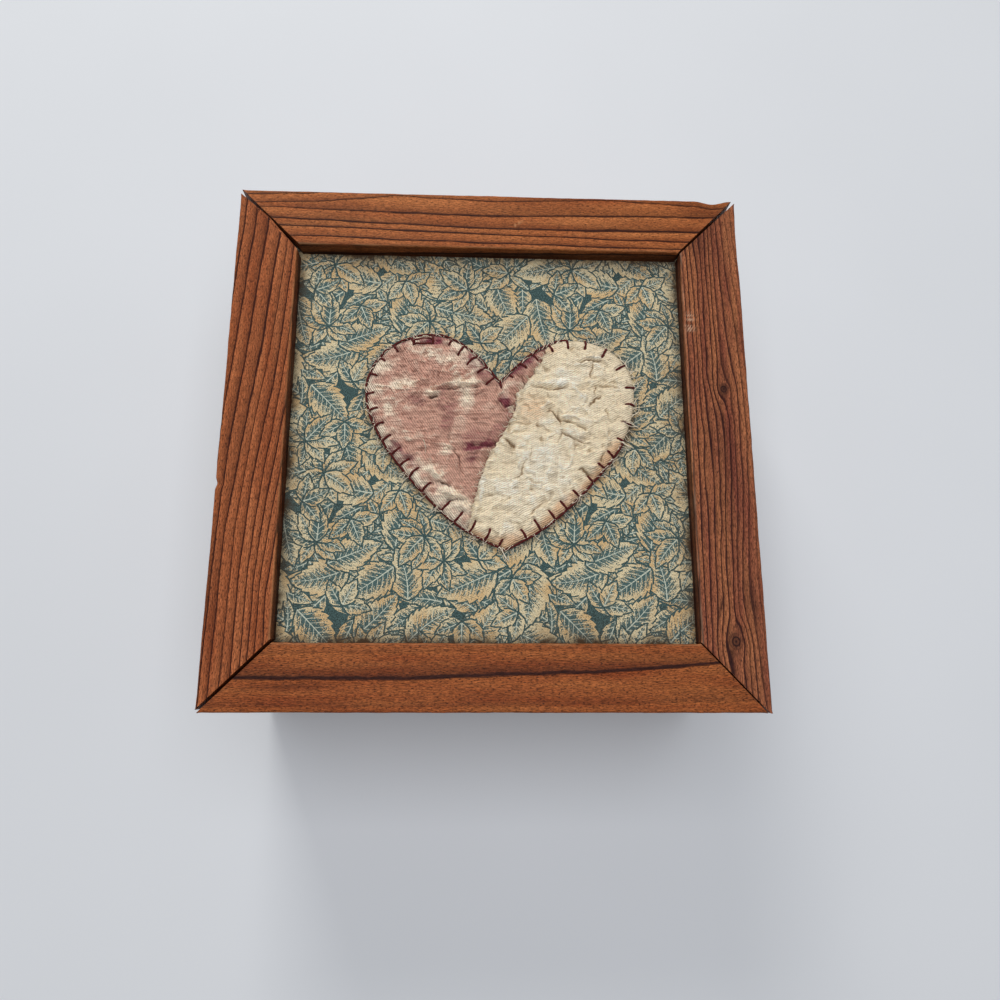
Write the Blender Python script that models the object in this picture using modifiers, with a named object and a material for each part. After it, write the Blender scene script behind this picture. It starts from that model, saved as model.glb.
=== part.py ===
"""Wooden keepsake box with a lift-off lid: a mitred softwood frame holds a print-covered board that
carries a quilted cloth heart, blanket stitched round its edge, over a plain mitred box.

Metres, +Z up. The origin is the middle of the underside. +X runs to the right of the heart and +Y
from its tip to its lobes.
"""

import math

import bmesh
import bpy
from mathutils import Matrix, Vector
from mathutils.geometry import interpolate_bezier

# --- driving sizes ------------------------------------------------------------------------------
WIDTH = 0.2032                  # outside, along X
DEPTH = 0.2055                  # outside, along Y
HEIGHT = 0.1016                 # table to the top of the lid
FIT_GAP = 0.0003                # left between pieces that touch

# --- lid frame ----------------------------------------------------------------------------------
RAIL_WIDTH = 0.0244
RAIL_THICKNESS = 0.01905
RECESS_DEPTH = 0.0075           # rail tops down to the printed cotton
REBATE_WIDTH = 0.0050           # the lip of the rails over the board's edge
RAIL_ARRIS = 0.0009             # rounding of the long top edges
RAIL_STEP = 0.0085              # distance between two sections of a rail
END_SPARE = 0.0020              # run of a board beyond its length before its mitres are cut
WANE_DEPTH_SHARE = 0.35         # how much of an edge's wane is left at the underside

# --- lid board, its cotton and the heart --------------------------------------------------------
BOARD_THICKNESS = 0.0150        # its lower edge drops into the box mouth and keeps the lid in place
COTTON_THICKNESS = 0.0006
PATCH_THICKNESS = 0.0024
PATCH_ROUNDING = 0.0009
SEAM_GAP = 0.0006               # between the two patches of the heart
THREAD_THICKNESS = 0.0005
THREAD_WIDTH = 0.0007
STITCH_PITCH = 0.0065           # from one bite of the blanket stitch to the next
STITCH_BITE = 0.0036            # how far a bite reaches in from the edge

# --- box body -----------------------------------------------------------------------------------
WALL_THICKNESS = 0.01905
WALL_ARRIS = 0.0006
BOTTOM_THICKNESS = 0.00635
BOTTOM_REBATE = 0.00635         # how far the bottom panel is let into the walls

# --- levels -------------------------------------------------------------------------------------
RAIL_BASE = HEIGHT - RAIL_THICKNESS
WALL_HEIGHT = RAIL_BASE - FIT_GAP
COTTON_TOP = HEIGHT - RECESS_DEPTH
BOARD_TOP = COTTON_TOP - COTTON_THICKNESS - FIT_GAP
PATCH_BASE = COTTON_TOP + FIT_GAP
PATCH_TOP = PATCH_BASE + PATCH_THICKNESS

# The four sides in turn: the angle that turns +X along the side, and the run of its outer face.
SIDES = {
    "front": (0.0, WIDTH, DEPTH),
    "right": (0.5 * math.pi, DEPTH, WIDTH),
    "back": (math.pi, WIDTH, DEPTH),
    "left": (1.5 * math.pi, DEPTH, WIDTH),
}

# How far each rail end stops short of the true mitre line, as (share of the rail's width from its
# outer face, distance square to the mitre). Start and end follow the side's own direction.
RAIL_ENDS = {
    "front": {
        "start": ((0.0, 0.0004), (1.0, 0.0005)),
        "end": ((0.0, 0.0013), (1.0, 0.0003)),
    },
    "right": {
        "start": ((0.0, -0.0008), (1.0, 0.0003)),
        "end": ((0.0, 0.0006), (1.0, 0.0004)),
    },
    "back": {
        "start": ((0.0, 0.0010), (1.0, 0.0005)),
        "end": ((0.0, 0.0003), (1.0, 0.0005)),
    },
    "left": {
        "start": ((0.0, 0.0014), (0.52, 0.0002), (1.0, 0.0015)),
        "end": ((0.0, 0.0008), (1.0, 0.0008)),
    },
}
WALL_ENDS = ((0.0, 0.5 * FIT_GAP), (1.0, 0.5 * FIT_GAP))

# Wane and nicks of the rails' outer top edges: (middle along the side, half length, depth).
RAIL_WANE = {
    "front": (),
    "right": ((0.0825, 0.0180, 0.0005),),
    "back": ((-0.0920, 0.0075, 0.0014),),
    "left": ((0.0205, 0.0025, 0.0007),),
}

# The heart's outline from its cleft round the left lobe to the tip, and from the tip round the
# right lobe back to the cleft. Cleft and tip are sharp, all between is round.
HEART_CLEFT = (0.0042, 0.0227)
HEART_TIP = (0.0063, -0.0434)
LEFT_LOBE = (
    (-0.0078, 0.0365), (-0.0211, 0.0427), (-0.0373, 0.0385), (-0.0467, 0.0264),
    (-0.0469, 0.0122), (-0.0386, -0.0048), (-0.0251, -0.0213), (-0.0104, -0.0347),
)
RIGHT_LOBE = (
    (0.0205, -0.0352), (0.0351, -0.0222), (0.0508, -0.0031), (0.0569, 0.0126),
    (0.0563, 0.0274), (0.0474, 0.0380), (0.0325, 0.0416), (0.0183, 0.0361),
)
# The line where the cream cloth laps the mauve, from the right lobe down to the lower left edge.
SEAM_TOP = (0.0237, 0.0385)
SEAM_LINE = (
    (0.0203, 0.0308), (0.0132, 0.0208), (0.0098, 0.0108), (0.0040, -0.0008), (-0.0010, -0.0100),
    (-0.0035, -0.0183), (-0.0064, -0.0300),
)
SEAM_FOOT = (-0.0080, -0.0366)
CURVE_STEPS = 7                 # points on a round stretch between two of an outline's points


def clear_scene():
    """Removes whatever the file holds."""
    for item in list(bpy.data.objects):
        bpy.data.objects.remove(item, do_unlink=True)


def new_collection(name):
    """A collection linked to the scene."""
    collection = bpy.data.collections.new(name)
    bpy.context.scene.collection.children.link(collection)
    return collection


def new_material(name, colour, roughness):
    """A dielectric Principled material."""
    material = bpy.data.materials.new(name)
    material.use_nodes = True
    shader = material.node_tree.nodes["Principled BSDF"]
    shader.inputs["Base Color"].default_value = (*colour, 1.0)
    shader.inputs["Roughness"].default_value = roughness
    shader.inputs["Metallic"].default_value = 0.0
    return material


def add_mesh(name, bm, collection, material):
    """Turns a finished bmesh into an object and frees it."""
    bmesh.ops.recalc_face_normals(bm, faces=bm.faces)
    mesh = bpy.data.meshes.new(name)
    bm.to_mesh(mesh)
    bm.free()
    item = bpy.data.objects.new(name, mesh)
    item.data.materials.append(material)
    collection.objects.link(item)
    return item


def smooth_dip(position, middle, half_length, depth):
    """A dip with flat shoulders: depth at its middle, nothing beyond its half length."""
    reach = abs(position - middle) / half_length
    return depth * math.cos(0.5 * math.pi * reach) ** 2 if reach < 1.0 else 0.0


# --- mitred boards ------------------------------------------------------------------------------
def arris(centre_y, centre_z, radius, start_degrees, turns=3):
    """Points of a rounded long edge, a quarter turn clockwise from the start angle."""
    angles = (math.radians(start_degrees - 90.0 * i / turns) for i in range(turns + 1))
    return [(centre_y + radius * math.cos(a), centre_z + radius * math.sin(a)) for a in angles]


def rail_section():
    """The lid rail's section, with y from the outer face inwards: rounded on top, rebated below."""
    lip_base = RAIL_THICKNESS - RECESS_DEPTH
    web = RAIL_WIDTH - REBATE_WIDTH
    top = RAIL_THICKNESS - RAIL_ARRIS
    return [
        (0.0, 0.0),
        (0.0, 0.5 * RAIL_THICKNESS),
        *arris(RAIL_ARRIS, top, RAIL_ARRIS, 180.0),
        (0.5 * RAIL_WIDTH, RAIL_THICKNESS),
        *arris(RAIL_WIDTH - RAIL_ARRIS, top, RAIL_ARRIS, 90.0),
        (RAIL_WIDTH, lip_base),
        (web, lip_base),
        (web, 0.0),
    ]


def wall_section():
    """The box wall's section: eased outer edges, with a rebate for the bottom panel."""
    rebate_top = BOTTOM_THICKNESS + FIT_GAP
    return [
        (WALL_ARRIS, 0.0),
        (0.0, WALL_ARRIS),
        (0.0, WALL_HEIGHT - WALL_ARRIS),
        (WALL_ARRIS, WALL_HEIGHT),
        (WALL_THICKNESS, WALL_HEIGHT),
        (WALL_THICKNESS, rebate_top),
        (WALL_THICKNESS - BOTTOM_REBATE, rebate_top),
        (WALL_THICKNESS - BOTTOM_REBATE, 0.0),
    ]


def cut_away(bm, point, normal):
    """Cuts a solid with a plane, drops what lies on the normal's side and closes the cut."""
    geometry = bm.verts[:] + bm.edges[:] + bm.faces[:]
    cut = bmesh.ops.bisect_plane(bm, geom=geometry, plane_co=point, plane_no=normal,
                                 dist=1e-7, clear_outer=True)
    rim = [e for e in cut["geom_cut"] if isinstance(e, bmesh.types.BMEdge)]
    if rim:
        bmesh.ops.contextual_create(bm, geom=rim)


def mitre_end(bm, half_run, width, shortfalls, direction):
    """Cuts one end of a board to its mitre, by a plane for each pair of its shortfalls.

    direction is 1 at the end that +X reaches and -1 at the other. The end is then squared off where
    it would stand past the side that it meets.
    """
    inwards = Vector((-direction, -1.0, 0.0)).normalized()
    corners = [
        Vector((direction * (half_run - share * width), share * width, 0.0)) + inwards * short
        for share, short in shortfalls
    ]
    for near, far in zip(corners, corners[1:]):
        along = far - near
        outwards = Vector((direction * along.y, -direction * along.x, 0.0)).normalized()
        cut_away(bm, near, outwards)
    if shortfalls[0][1] < 0.0:
        cut_away(bm, Vector((direction * half_run, 0.0, 0.0)), Vector((direction, 0.0, 0.0)))


def mitred_board(name, section, side, width, base, ends, step, wane, collection, material):
    """A board along one side of the box: its section run along the side, waned, and mitred."""
    turn, run, across = SIDES[side]
    steps = max(1, round(run / step))
    start = -0.5 * run - END_SPARE
    stride = (run + 2.0 * END_SPARE) / steps

    bm = bmesh.new()
    corners = [bm.verts.new((start, y, z)) for y, z in section]
    ring = [bm.edges.new(pair) for pair in zip(corners, corners[1:] + corners[:1])]
    for _ in range(steps):
        grown = bmesh.ops.extrude_edge_only(bm, edges=ring)["geom"]
        moved = [g for g in grown if isinstance(g, bmesh.types.BMVert)]
        ring = [g for g in grown if isinstance(g, bmesh.types.BMEdge)]
        bmesh.ops.translate(bm, verts=moved, vec=(stride, 0.0, 0.0))

    top = max(z for _, z in section)
    for vert in bm.verts:
        fade = max(0.0, 1.0 - vert.co.y / (0.3 * width))
        height = WANE_DEPTH_SHARE + (1.0 - WANE_DEPTH_SHARE) * vert.co.z / top
        vert.co.y += sum(smooth_dip(vert.co.x, *dip) for dip in wane) * fade * height

    mitre_end(bm, 0.5 * run, width, ends["start"], -1.0)
    mitre_end(bm, 0.5 * run, width, ends["end"], 1.0)

    board = add_mesh(name, bm, collection, material)
    board.location = Matrix.Rotation(turn, 3, "Z") @ Vector((0.0, -0.5 * across, base))
    board.rotation_euler = (0.0, 0.0, turn)
    return board


def panel(name, size, low, thickness, collection, material):
    """A flat rectangular panel centred on the box, from its low face up."""
    bm = bmesh.new()
    bmesh.ops.create_cube(bm, size=1.0)
    bmesh.ops.scale(bm, vec=(*size, thickness), verts=bm.verts)
    item = add_mesh(name, bm, collection, material)
    item.location = (0.0, 0.0, low + 0.5 * thickness)
    return item


# --- the heart ----------------------------------------------------------------------------------
def rounded(points, steps=CURVE_STEPS):
    """A smooth line through points, sharp only at its two ends."""
    spots = [Vector((*p, 0.0)) for p in points]
    line = [spots[0]]
    for i in range(len(spots) - 1):
        before = spots[max(i - 1, 0)]
        near, far = spots[i], spots[i + 1]
        after = spots[min(i + 2, len(spots) - 1)]
        handle_near = near + (far - before) / 6.0
        handle_far = far - (after - near) / 6.0
        line += interpolate_bezier(near, handle_near, handle_far, far, steps + 1)[1:]
    return line


def nearest(line, spot):
    """The index of the line's point that is nearest to a spot."""
    return min(range(len(line)), key=lambda i: (line[i] - Vector((*spot, 0.0))).length)


def heart_lines():
    """The heart's two sides, anticlockwise: cleft to tip on the left, tip to cleft on the right."""
    left = rounded((HEART_CLEFT, *LEFT_LOBE, HEART_TIP))
    right = rounded((HEART_TIP, *RIGHT_LOBE, HEART_CLEFT))
    return left, right


def patch_outlines():
    """Closed outlines of the mauve and the cream patch, which meet at the seam."""
    left, right = heart_lines()
    top = nearest(right, SEAM_TOP)
    foot = nearest(left, SEAM_FOOT)
    seam = rounded((right[top].xy, *SEAM_LINE, left[foot].xy), steps=3)
    mauve = left[:foot] + list(reversed(seam)) + right[top + 1:-1]
    cream = seam[:-1] + left[foot:-1] + right[:top]
    return mauve, cream


def patch(name, outline, collection, material):
    """A flat padded patch with rounded rims, from its closed outline."""
    curve = bpy.data.curves.new(name, "CURVE")
    curve.dimensions = "2D"
    curve.fill_mode = "BOTH"
    curve.extrude = 0.5 * PATCH_THICKNESS - PATCH_ROUNDING
    curve.bevel_depth = PATCH_ROUNDING
    curve.bevel_resolution = 1
    curve.offset = -PATCH_ROUNDING - 0.5 * SEAM_GAP
    spline = curve.splines.new("POLY")
    spline.points.add(len(outline) - 1)
    for point, spot in zip(spline.points, outline):
        point.co = (spot.x, spot.y, 0.0, 1.0)
    spline.use_cyclic_u = True

    shape = bpy.data.objects.new(name, curve)
    collection.objects.link(shape)
    evaluated = shape.evaluated_get(bpy.context.evaluated_depsgraph_get())
    bm = bmesh.new()
    bm.from_mesh(evaluated.to_mesh())
    bpy.data.objects.remove(shape, do_unlink=True)
    bmesh.ops.remove_doubles(bm, verts=bm.verts, dist=1e-6)
    item = add_mesh(name, bm, collection, material)
    item.location.z = PATCH_BASE + 0.5 * PATCH_THICKNESS
    return item


def evenly_spaced(line, spacing):
    """Points of a closed line, evenly spaced by about that much."""
    lengths = [(b - a).length for a, b in zip(line, line[1:] + line[:1])]
    total = sum(lengths)
    count = round(total / spacing)
    spots, walked, index = [], 0.0, 0
    for i in range(count):
        target = total * i / count
        while walked + lengths[index] < target:
            walked += lengths[index]
            index += 1
        share = (target - walked) / lengths[index]
        spots.append(line[index].lerp(line[(index + 1) % len(line)], share))
    return spots


def stitch_thread(name, collection, material):
    """The blanket stitch: one thread round the heart's edge, with a bite over the rim at each stitch.

    It starts as an open ribbon, a row of cells round the edge with a short row inwards at each
    bite, which Solidify then gives its thickness.
    """
    left, right = heart_lines()
    outline = evenly_spaced(left[:-1] + right[:-1], STITCH_PITCH / 3.0)
    count = len(outline) - len(outline) % 3
    inwards = []
    for i in range(len(outline)):
        chord = outline[(i + 2) % len(outline)] - outline[i - 2]
        inwards.append(Vector((-chord.y, chord.x, 0.0)).normalized())

    clear = FIT_GAP + 0.5 * THREAD_THICKNESS
    low = COTTON_TOP + clear
    high = PATCH_TOP + clear
    rows = (
        (-clear - THREAD_WIDTH - 0.0002, low),
        (-clear - 0.0002, low),
        (-clear, 0.5 * (low + high)),
        (0.4 * PATCH_ROUNDING, high),
        (STITCH_BITE, high),
    )

    bm = bmesh.new()
    half = 0.5 * THREAD_WIDTH

    def spot(index, shift, row):
        """A corner of the ribbon beside an outline point, on one of the rows."""
        side = Vector((inwards[index].y, -inwards[index].x, 0.0))
        reach, level = rows[row]
        place = outline[index] + side * shift + inwards[index] * reach
        return bm.verts.new((place.x, place.y, level))

    rings = []
    for i in range(count):
        if i % 3 == 0:
            near = [spot(i, -half, row) for row in range(len(rows))]
            far = [spot(i, half, row) for row in range(len(rows))]
            for row in range(1, len(rows) - 1):
                bm.faces.new((near[row], far[row], far[row + 1], near[row + 1]))
            rings += [near[:2], far[:2]]
        else:
            rings.append([spot(i, 0.0, 0), spot(i, 0.0, 1)])
    for here, there in zip(rings, rings[1:] + rings[:1]):
        bm.faces.new((here[0], there[0], there[1], here[1]))

    thread = add_mesh(name, bm, collection, material)
    thickness = thread.modifiers.new("thread", "SOLIDIFY")
    thickness.thickness = THREAD_THICKNESS
    thickness.offset = 0.0
    return thread


# --- the whole box ------------------------------------------------------------------------------
def build():
    """Makes every piece of the box."""
    clear_scene()
    pieces = new_collection("wooden_keepsake_box")
    stained_wood = new_material("stained_softwood", (0.26, 0.095, 0.04), 0.5)
    bare_wood = new_material("plain_softwood_panel", (0.33, 0.17, 0.09), 0.6)
    print_cotton = new_material("printed_cotton", (0.36, 0.32, 0.22), 0.9)
    mauve_cotton = new_material("mauve_cotton", (0.42, 0.24, 0.22), 0.95)
    cream_cotton = new_material("cream_cotton", (0.70, 0.58, 0.42), 0.95)
    floss = new_material("burgundy_floss", (0.16, 0.02, 0.03), 0.8)

    rail, wall = rail_section(), wall_section()
    wall_ends = {"start": WALL_ENDS, "end": WALL_ENDS}
    for side in SIDES:
        mitred_board(f"lid_rail_{side}", rail, side, RAIL_WIDTH, RAIL_BASE, RAIL_ENDS[side],
                     RAIL_STEP, RAIL_WANE[side], pieces, stained_wood)
        mitred_board(f"box_wall_{side}", wall, side, WALL_THICKNESS, 0.0, wall_ends,
                     WIDTH, (), pieces, stained_wood)

    rebate_edge = 2.0 * (RAIL_WIDTH - REBATE_WIDTH + FIT_GAP)
    board_size = (WIDTH - rebate_edge, DEPTH - rebate_edge)
    panel("lid_board", board_size, BOARD_TOP - BOARD_THICKNESS, BOARD_THICKNESS, pieces, bare_wood)
    panel("lid_print_cotton", board_size, COTTON_TOP - COTTON_THICKNESS, COTTON_THICKNESS,
          pieces, print_cotton)
    bottom_edge = 2.0 * (WALL_THICKNESS - BOTTOM_REBATE + FIT_GAP)
    panel("box_bottom", (WIDTH - bottom_edge, DEPTH - bottom_edge), 0.0, BOTTOM_THICKNESS,
          pieces, bare_wood)

    mauve, cream = patch_outlines()
    patch("heart_mauve_patch", mauve, pieces, mauve_cotton)
    patch("heart_cream_patch", cream, pieces, cream_cotton)
    stitch_thread("heart_blanket_stitch", pieces, floss)


build()
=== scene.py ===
"""Looks of the wooden keepsake box: a mitred pine box whose lift-off lid frames a board covered in
leaf-printed cotton, with a quilted cloth heart blanket stitched on it.

Lengths are millimetres in this file and turn to metres where a mesh is made. Boards are described
in their own axes: along the side, across from the outer face inwards, and up from the underside.
"""

import logging
import math
from dataclasses import dataclass, replace
from enum import Enum

import bmesh
import bpy
import numpy as np
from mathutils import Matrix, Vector
from mathutils.geometry import delaunay_2d_cdt, tessellate_polygon


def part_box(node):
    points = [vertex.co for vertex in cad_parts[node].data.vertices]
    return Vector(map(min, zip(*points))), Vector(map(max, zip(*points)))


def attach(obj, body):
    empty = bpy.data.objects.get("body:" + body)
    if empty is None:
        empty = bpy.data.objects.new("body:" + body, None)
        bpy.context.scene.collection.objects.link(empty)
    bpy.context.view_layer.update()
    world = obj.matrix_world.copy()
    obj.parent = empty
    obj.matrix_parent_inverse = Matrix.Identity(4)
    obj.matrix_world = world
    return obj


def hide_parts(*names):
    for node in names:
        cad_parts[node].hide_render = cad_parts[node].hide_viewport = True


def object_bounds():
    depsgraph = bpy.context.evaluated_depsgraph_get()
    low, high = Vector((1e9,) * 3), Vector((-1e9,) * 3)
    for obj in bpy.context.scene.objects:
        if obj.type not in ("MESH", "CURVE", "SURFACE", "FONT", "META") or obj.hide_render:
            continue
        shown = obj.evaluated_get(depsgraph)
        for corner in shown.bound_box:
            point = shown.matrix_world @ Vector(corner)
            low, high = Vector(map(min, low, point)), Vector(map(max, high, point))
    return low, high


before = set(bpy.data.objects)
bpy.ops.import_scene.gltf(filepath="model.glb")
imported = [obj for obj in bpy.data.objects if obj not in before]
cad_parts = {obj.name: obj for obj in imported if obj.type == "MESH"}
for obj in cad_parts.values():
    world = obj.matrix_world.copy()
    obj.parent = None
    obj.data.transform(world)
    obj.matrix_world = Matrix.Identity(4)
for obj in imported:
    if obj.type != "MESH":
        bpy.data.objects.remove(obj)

CAD_BOX = [list(corner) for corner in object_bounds()]

MM = 0.001
BODY = "root"
LOG = logging.getLogger("keepsake_box")
Socket = bpy.types.NodeSocket


# --- numbers ---
WORD = 0xFFFFFFFF  # the largest whole number of 32 bits
HASH_START, HASH_SEED = 2166136261, 7919
HASH_FIRST, HASH_SECOND = np.uint32(0x9E3779B1), np.uint32(0x85EBCA77)


def linear(hex_code: str) -> tuple[float, float, float, float]:
    """Turns an sRGB hex colour to the linear colour that shaders take.

    Args:
        hex_code: Six hex digits, with or without a leading #.

    Returns:
        Linear red, green, blue and an alpha of 1.
    """
    digits = hex_code.lstrip("#")
    parts = [int(digits[i:i + 2], 16) / 255.0 for i in (0, 2, 4)]
    tones = [p / 12.92 if p <= 0.04045 else ((p + 0.055) / 1.055) ** 2.4 for p in parts]
    return (*tones, 1.0)


def cell_values(cells: np.ndarray, seed: int) -> np.ndarray:
    """Gives each lattice cell its own fixed random value.

    Args:
        cells: Whole numbers, one row a cell.
        seed: Picks one of many sets of values.

    Returns:
        A value from -1 to 1 for each row.
    """
    key = np.full(len(cells), (HASH_START + HASH_SEED * seed) & WORD, np.uint32)
    for axis in cells.T:
        key = (key ^ (axis.astype(np.int64) & WORD).astype(np.uint32)) * HASH_FIRST
        key = (key ^ (key >> np.uint32(15))) * HASH_SECOND
        key = key ^ (key >> np.uint32(13))
    return key / 2.0 ** 31 - 1.0


def noise(spots: np.ndarray, size: float, seed: int, octaves: int = 1) -> np.ndarray:
    """Smooth random hills.

    Args:
        spots: Points of two or three coordinates, one row each.
        size: Distance between two hills of the coarsest octave, in the points' units.
        seed: Picks one of many patterns.
        octaves: How many times the pattern is added again at half the size and half the height.

    Returns:
        Heights, mostly from -1 to 1, for each row.
    """
    total = np.zeros(len(spots))
    height = 1.0
    for octave in range(octaves):
        scaled = spots * (2.0 ** octave / size)
        base = np.floor(scaled)
        share = scaled - base
        share = share * share * (3.0 - 2.0 * share)
        for corner in np.ndindex(*(2,) * spots.shape[1]):
            step = np.array(corner)
            weight = np.prod(np.where(step == 1, share, 1.0 - share), axis=1)
            total += height * weight * cell_values(base + step, seed + 31 * octave)
        height *= 0.5
    return total


def smoothstep(value: np.ndarray, low: float, high: float) -> np.ndarray:
    """Rises smoothly from 0 at low to 1 at high."""
    share = np.clip((value - low) / (high - low), 0.0, 1.0)
    return share * share * (3.0 - 2.0 * share)


def drift(spots: np.ndarray, size: float, seed: int, octaves: int = 2) -> np.ndarray:
    """Two smooth random values for each point, by which it can be moved about."""
    return np.stack([noise(spots, size, seed + hand, octaves) for hand in (0, 1)], axis=1)


def blob(spots: np.ndarray, centre: tuple[float, float], radii: tuple[float, float],
         turn: float = 0.0) -> np.ndarray:
    """A soft elliptical spot.

    Args:
        spots: Points, of which the first two coordinates count.
        centre: Middle of the spot.
        radii: Half widths along its own two axes, where it has faded to about a third.
        turn: Degrees from +x to its first axis.

    Returns:
        Strength for each point, 1 in the middle.
    """
    angle = math.radians(turn)
    dx, dy = spots[:, 0] - centre[0], spots[:, 1] - centre[1]
    u = (dx * math.cos(angle) + dy * math.sin(angle)) / radii[0]
    v = (dy * math.cos(angle) - dx * math.sin(angle)) / radii[1]
    return np.exp(-(u * u + v * v))


def segment_distance(spots: np.ndarray, start: np.ndarray, end: np.ndarray) -> tuple:
    """Distance of points from a straight segment.

    Args:
        spots: Points in the plane.
        start: The segment's first end.
        end: The segment's other end.

    Returns:
        The distance for each point, and its place from 0 to 1 along the segment.
    """
    run = np.asarray(end, float) - np.asarray(start, float)
    share = np.clip((spots - start) @ run / max(run @ run, 1e-9), 0.0, 1.0)
    return np.linalg.norm(spots - (np.asarray(start) + share[:, None] * run), axis=1), share


def line_distance(spots: np.ndarray, line: np.ndarray) -> np.ndarray:
    """Distance of points from a line of many short segments.

    Args:
        spots: Points in the plane.
        line: The line's points.

    Returns:
        The distance for each point.
    """
    best = np.full(len(spots), 1e9)
    for start, end in zip(line[:-1], line[1:]):
        best = np.minimum(best, segment_distance(spots, start, end)[0])
    return best


def point_in(spots: np.ndarray, outline: np.ndarray) -> np.ndarray:
    """Finds the points inside an outline.

    Args:
        spots: Points in the plane.
        outline: Corners of the closed outline.

    Returns:
        Whether each point lies inside.
    """
    inside = np.zeros(len(spots), bool)
    for (x1, y1), (x2, y2) in zip(outline, np.roll(outline, -1, axis=0)):
        crosses = (y1 > spots[:, 1]) != (y2 > spots[:, 1])
        rise = (x2 - x1) / (y2 - y1) if abs(y2 - y1) > 1e-12 else 0.0
        inside ^= crosses & (spots[:, 0] < x1 + rise * (spots[:, 1] - y1))
    return inside


def rounded(points: list, steps: int) -> np.ndarray:
    """A smooth line through points, sharp only at its two ends.

    Args:
        points: Places that the line passes through.
        steps: Points on the line between two of them.

    Returns:
        The line's points, one row each.
    """
    spots = np.array(points, float)
    padded = np.vstack([spots[:1], spots, spots[-1:]])
    line = [spots[0]]
    for before, near, far, after in zip(padded, padded[1:], padded[2:], padded[3:]):
        grip_near, grip_far = near + (far - before) / 6.0, far - (after - near) / 6.0
        for i in range(1, steps + 2):
            t = i / (steps + 1)
            s = 1.0 - t
            line.append(s ** 3 * near + 3 * s * s * t * grip_near + 3 * s * t * t * grip_far
                        + t ** 3 * far)
    return np.array(line)


def evenly(line: np.ndarray, spacing: float) -> np.ndarray:
    """Spaces a line's points evenly.

    Args:
        line: Its points.
        spacing: About how far apart they should be.

    Returns:
        New points on the same line.
    """
    lengths = np.r_[0.0, np.cumsum(np.linalg.norm(np.diff(line, axis=0), axis=1))]
    count = max(2, int(round(lengths[-1] / spacing)) + 1)
    targets = np.linspace(0.0, lengths[-1], count)
    return np.stack([np.interp(targets, lengths, axis) for axis in line.T], axis=1)


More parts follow.
